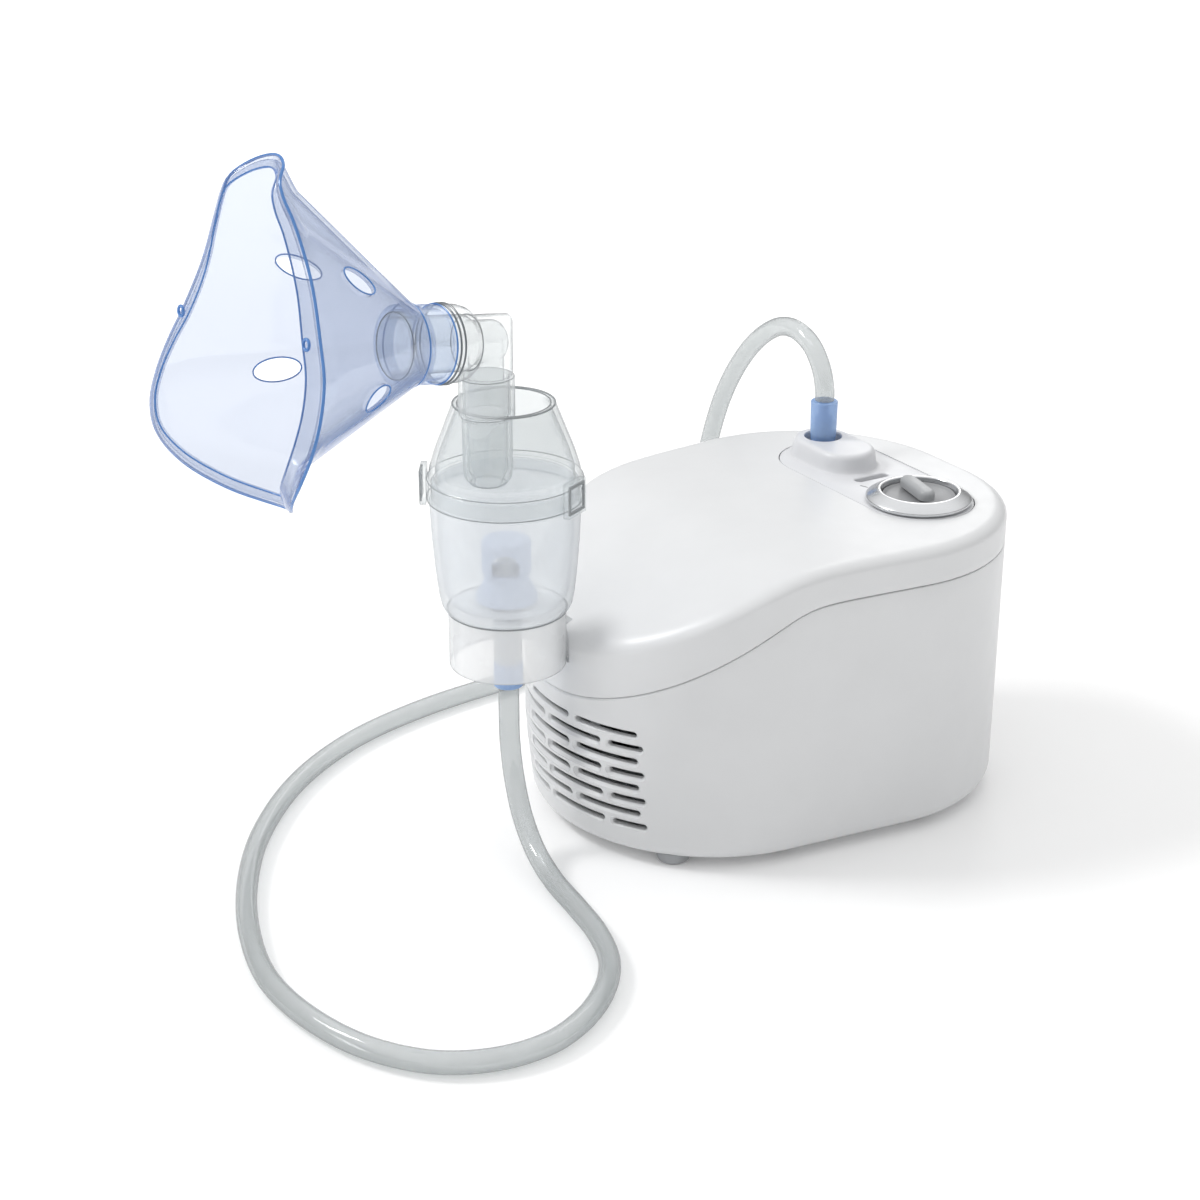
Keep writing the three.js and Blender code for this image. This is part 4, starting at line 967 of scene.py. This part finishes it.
def mask_edge():
    """Points evenly spread round the mask's edge: sideways, up, outwards and the lip's width."""
    half = [(-u, h, w, lip) for u, h, w, lip in MASK_EDGE]
    mirrored = [(-u, h, w, lip) for u, h, w, lip in half[-2:0:-1]]
    line = np.array(spline(half + mirrored, 24, closed=True))
    closed = np.vstack([line, line[:1]])
    run = np.concatenate([[0], np.cumsum(np.linalg.norm(np.diff(closed[:, :3], axis=0), axis=1))])
    even = np.linspace(0, run[-1], MASK_SIDES, endpoint=False)
    return np.stack([np.interp(even, run, closed[:, k]) for k in range(4)], axis=1)


def mask_skin():
    edge = mask_edge()
    around = [math.pi / 2 + 2 * math.pi * k / MASK_SIDES for k in range(MASK_SIDES)]
    spokes = np.array([(math.cos(a), math.sin(a)) for a in around])

    def neck(r, w):
        return np.column_stack([spokes * r, np.full(MASK_SIDES, float(w))])

    rings = [neck(NECK_R - 0.3, NECK_START), neck(NECK_R, NECK_START + 0.3), neck(NECK_R, NECK_START + 2.4),
             neck(NECK_R, NECK_END - 2.4), neck(NECK_R - 0.05, NECK_END - 1), neck(NECK_R - 0.1, NECK_END)]
    start = neck(NECK_R - 0.2, NECK_END + 1)
    high = edge[:, 1]
    shrink = 0.93 - np.where(high < 0, 0.2 * (high / 42.8) ** 2, 0.09 * (high / 51.8) ** 2)
    reach = start[:, 2] + (edge[:, 2] - start[:, 2]) * FLANGE_AT
    end = np.column_stack([edge[:, 0] * shrink, high * shrink, reach])
    for share in (0.03, 0.07, 0.14, 0.22, 0.3, 0.4, 0.5, 0.6, 0.7, 0.8, 0.88, 0.94, 0.98):
        rings.append(start + (end - start) * share)
    for share in (0.06, 0.25, 0.5, 0.75, 0.94, 1):
        rings.append(end + (edge[:, :3] - end) * share)
    inward = -edge[:, :2] / np.linalg.norm(edge[:, :2], axis=1)[:, None]
    for share, out in MASK_LIP:
        ring = edge[:, :3].copy()
        ring[:, :2] += inward * (edge[:, 3] * share)[:, None]
        ring[:, 2] += out
        rings.append(ring)
    return rings


def offset_rings(rings, distance):
    """The skin moved along its own normals."""
    moved = []
    for i, ring in enumerate(rings):
        along = rings[min(i + 1, len(rings) - 1)] - rings[max(i - 1, 0)]
        across = np.roll(ring, -1, axis=0) - np.roll(ring, 1, axis=0)
        normal = np.cross(across, along)
        normal /= np.linalg.norm(normal, axis=1)[:, None]
        moved.append(ring + normal * distance)
    return moved


MASK_FRAME = ARM @ Matrix.Rotation(MASK_ROLL, 4, "Z")


MASK_VENTS = [(53, 25.4, 53), (127, 25.4, 53), (-20, 27.5, 52.7), (-160, 27.5, 52.7)]
VENT_NAMES = ("upper_right", "upper_left", "lower_right", "lower_left")
VENT_STEPS, VENT_REACH, VENT_WIDE, VENT_LONG = 40, 20, 3.4, 6.8


def vent_frame(angle, out, along):
    """A vent's own frame in the mask's: its hole runs along Y, with -Y outwards."""
    return (Matrix.Rotation(math.radians(angle), 4, "Z") @ Matrix.Translation((out, 0, along))
            @ Matrix.Rotation(math.radians(30), 4, "Y") @ Matrix.Rotation(math.pi / 2, 4, "Z"))


def vent_ring(y):
    turns = [2 * math.pi * k / VENT_STEPS for k in range(VENT_STEPS)]
    return [(VENT_WIDE * math.cos(t), y, VENT_LONG * math.sin(t)) for t in turns]


def vent_hole(vent):
    hole = loft("mask_vent", [vent_ring(y) for y in (VENT_REACH, -VENT_REACH)])
    return placed(hole, MASK_FRAME @ vent_frame(*vent))


def vent_lines(skin):
    """Where each vent's hole meets the mask's outer skin, in the mask's frame."""
    n = MASK_SIDES
    points = [tuple(p) for ring in skin for p in ring]
    faces = [(i * n + k, i * n + (k + 1) % n, (i + 1) * n + (k + 1) % n, (i + 1) * n + k)
             for i in range(len(skin) - 1) for k in range(n)]
    tree = BVHTree.FromPolygons(points, faces)
    lines = []
    for vent in MASK_VENTS:
        turn = vent_frame(*vent)
        inwards = turn.to_3x3() @ Vector((0, 1, 0))
        hits = [tree.ray_cast(turn @ Vector(p), inwards)[0] for p in vent_ring(-VENT_REACH)]
        lines.append((np.array([tuple(h) for h in hits]), tuple(inwards)))
    return lines


def face_mask(skin):
    inside = offset_rings(skin, -MASK_WALL)
    shell = loft("soft_face_mask", [[tuple(p) for p in ring] for ring in skin + inside[::-1]], loop=True)
    placed(shell, MASK_FRAME)
    return cut(shell, *[vent_hole(vent) for vent in MASK_VENTS])


def inner_collar():
    """Sleeve that carries the neck on into the mask."""
    profile = [
        (NECK_R - 1.1, NECK_END + 0.1), (NECK_R - 0.1, NECK_END + 0.1), (NECK_R + 0.2, COLLAR_END),
        (10.2, COLLAR_END), (NECK_R - 1.1, NECK_END + 0.1)]
    sleeve = turned("mask_inner_collar", rounded(profile, 0.25)[:-1], (0, 0), 96, closed=True)
    return placed(sleeve, MASK_FRAME)


def edge_bead(name, ring, thick, aside=(0, 0, 1)):
    """Thin bead along a closed line of the mask that nowhere runs along aside."""
    along = np.roll(ring, -1, axis=0) - np.roll(ring, 1, axis=0)
    along /= np.linalg.norm(along, axis=1)[:, None]
    across = np.cross(along, aside)
    across /= np.linalg.norm(across, axis=1)[:, None]
    upward = np.cross(across, along)
    turns = [2 * math.pi * k / 10 for k in range(10)]
    sections = [[tuple(p + thick * (math.cos(t) * a + math.sin(t) * u)) for t in turns]
                for p, a, u in zip(ring, across, upward)]
    return placed(loft(name, sections, loop=True), MASK_FRAME)


def colour_neck(obj):
    """Gives the faces round the mask's neck the deeper blue."""
    obj.data.materials.append(MASK_NECK)
    to_mask = (Matrix.Translation((0, SHIFT * MM, 0)) @ Matrix.Scale(MM, 4) @ MASK_FRAME).inverted()
    for face in obj.data.polygons:
        if (to_mask @ face.center).z < NECK_END:
            face.material_index = 1


STUD_X, STUD_Y, STUD_Z, STUD_R = 32.7, 7, 79.4, 1.4
SKIN = mask_skin()
mask = finished(face_mask(SKIN), MASK, "mask", "mask_blue", "face_mask", angle=50)
colour_neck(mask)
# These blue beads along the mask's edge, lip and neck are painted shade: the dark blue lines that refraction
# draws along the clear mask's rims.
for label, line, thick in (
        ("mask_outer_edge", SKIN[-1 - len(MASK_LIP)] - (0, 0, 0.3), 0.42),
        ("mask_lip_edge", SKIN[-1] - (0, 0, 0.4), 0.25),
        ("mask_neck_front", SKIN[1] - (0, 0, 0.1), 0.25),
        ("mask_neck_back", SKIN[NECK_RINGS] * (0.995, 0.995, 1), 0.25)):
    finished(edge_bead(label, line, thick), BLUE_EDGE, "mask", "mask_blue")
finished(inner_collar(), MASK_NECK, "mask", "mask_blue")
# The studs are drawn as rings of the same blue painted rim shade.
for side, x in (("right", STUD_X), ("left", -STUD_X)):
    stud = np.array([(x + dx, STUD_Y + dy, STUD_Z) for dx, dy in circle(STUD_R, 24)])
    finished(edge_bead(f"{side}_strap_stud", stud, 0.42), BLUE_EDGE, "mask", "mask_blue")
# Blue beads round the vents paint the dark outline that refraction draws round each hole.
for label, (line, inwards) in zip(VENT_NAMES, vent_lines(SKIN)):
    finished(edge_bead(f"{label}_vent_edge", line, 0.22, inwards), BLUE_EDGE, "mask", "mask_blue")


# ---------------------------------------------------------------- pieces that stay as the CAD made them
LEFT = {
    STEEL: ["housing_screw_1", "housing_screw_2", "housing_screw_3", "housing_screw_4", "chassis_plate",
            "front_bracket", "rear_bracket", "pump_stand", "motor_shaft"],
    BLACK: ["rotary_switch", "air_filter_holder", "mains_inlet", "cooling_fan"],
    FELT: ["air_filter"],
    BRASS: ["inlet_pin_1", "inlet_pin_2"],
    MOUNT_RUBBER: ["rubber_mount_1", "rubber_mount_2", "rubber_mount_3", "rubber_mount_4"],
    BRONZE: ["front_bearing", "rear_bearing", "motor_coil"],
    CORE: ["stator_core", "rotor"],
    CAST: ["crank_disc", "piston_rod", "cylinder_head", "pump_cylinder"],
    TUBE: ["outlet_hose"],
}
for material, names in LEFT.items():
    for name in names:
        nodes[name].data.materials.clear()
        nodes[name].data.materials.append(material)


CLEAR = (CUP, SKIRT, STEM, CAP, ADAPTER, SLEEVE, RIM_SHADE, DARK_EDGE, MASK, MASK_NECK, BLUE_EDGE)
for obj in scene.objects:
    if obj.type == "MESH" and obj.data.materials and obj.data.materials[0] in CLEAR:
        obj.visible_shadow = False


# ---------------------------------------------------------------- floor and light
def floor_material():
    n = Nodes("pale_floor")
    shader = n.add("ShaderNodeBsdfPrincipled")
    shader.inputs["Specular IOR Level"].default_value = 0.02
    n.wire(n.blend(n.noise(3), (0.93, 0.93, 0.93), (0.95, 0.95, 0.95)), shader.inputs["Base Color"])
    n.wire(n.spread(n.noise(9), 0.6, 0.75), shader.inputs["Roughness"])
    shader.inputs["Emission Color"].default_value = (1, 1, 1, 1)
    away = n.add("ShaderNodeVectorMath", operation="LENGTH")
    n.wire(n.place, away.inputs[0])
    # The floor glows more away from the object, so it stays white out to the horizon.
    n.wire(n.spread(away.outputs["Value"], 0.08, 0.5, 0.3, 1.2), shader.inputs["Emission Strength"])
    n.wire(shader.outputs[0], n.output.inputs["Surface"])
    return n.material


FLOOR_HALF, FLOOR_Z_M = 90.0, -0.0002
floor = new_object("floor", bpy.data.meshes.new("floor"))
corners = [(x * FLOOR_HALF, y * FLOOR_HALF, FLOOR_Z_M) for x, y in ((-1, -1), (1, -1), (1, 1), (-1, 1))]
floor.data.from_pydata(corners, [], [(0, 1, 2, 3)])
floor.data.materials.append(floor_material())


def area_light(name, place, target, size, power, colour=(1, 1, 1)):
    light = bpy.data.lights.new(name, "AREA")
    light.shape = "RECTANGLE"
    light.size, light.size_y = size
    light.energy = power
    light.color = colour
    obj = new_object(name, light)
    obj.location = place
    obj.rotation_mode = "QUATERNION"
    obj.rotation_quaternion = (Vector(target) - Vector(place)).to_track_quat("-Z", "Y")
    return obj


middle = (cad_box[0] + cad_box[1]) / 2
area_light("key", middle + Vector((-0.6, -0.75, 1.0)), middle, (0.35, 0.35), 8)
area_light("strip", middle + Vector((-0.7, 0.75, 0.6)), middle, (0.25, 1.1), 1.5)


def studio_world():
    """White light that is strongest overhead and fades towards the horizon."""
    world = bpy.data.worlds.new("studio")
    scene.world = world
    world.use_nodes = True
    tree = world.node_tree
    background = tree.nodes["Background"]
    background.inputs["Color"].default_value = (1, 1, 1, 1)
    place = tree.nodes.new("ShaderNodeTexCoord")
    split = tree.nodes.new("ShaderNodeSeparateXYZ")
    fade = tree.nodes.new("ShaderNodeMapRange")
    fade.interpolation_type = "SMOOTHSTEP"
    for key, number in (("From Min", 0.0), ("From Max", 0.8), ("To Min", 0.16), ("To Max", 0.98)):
        fade.inputs[key].default_value = number
    tree.links.new(place.outputs["Generated"], split.inputs[0])
    tree.links.new(split.outputs["Z"], fade.inputs["Value"])
    tree.links.new(fade.outputs["Result"], background.inputs["Strength"])


studio_world()
scene.view_settings.view_transform = "Standard"
scene.cycles.transparent_max_bounces = 32
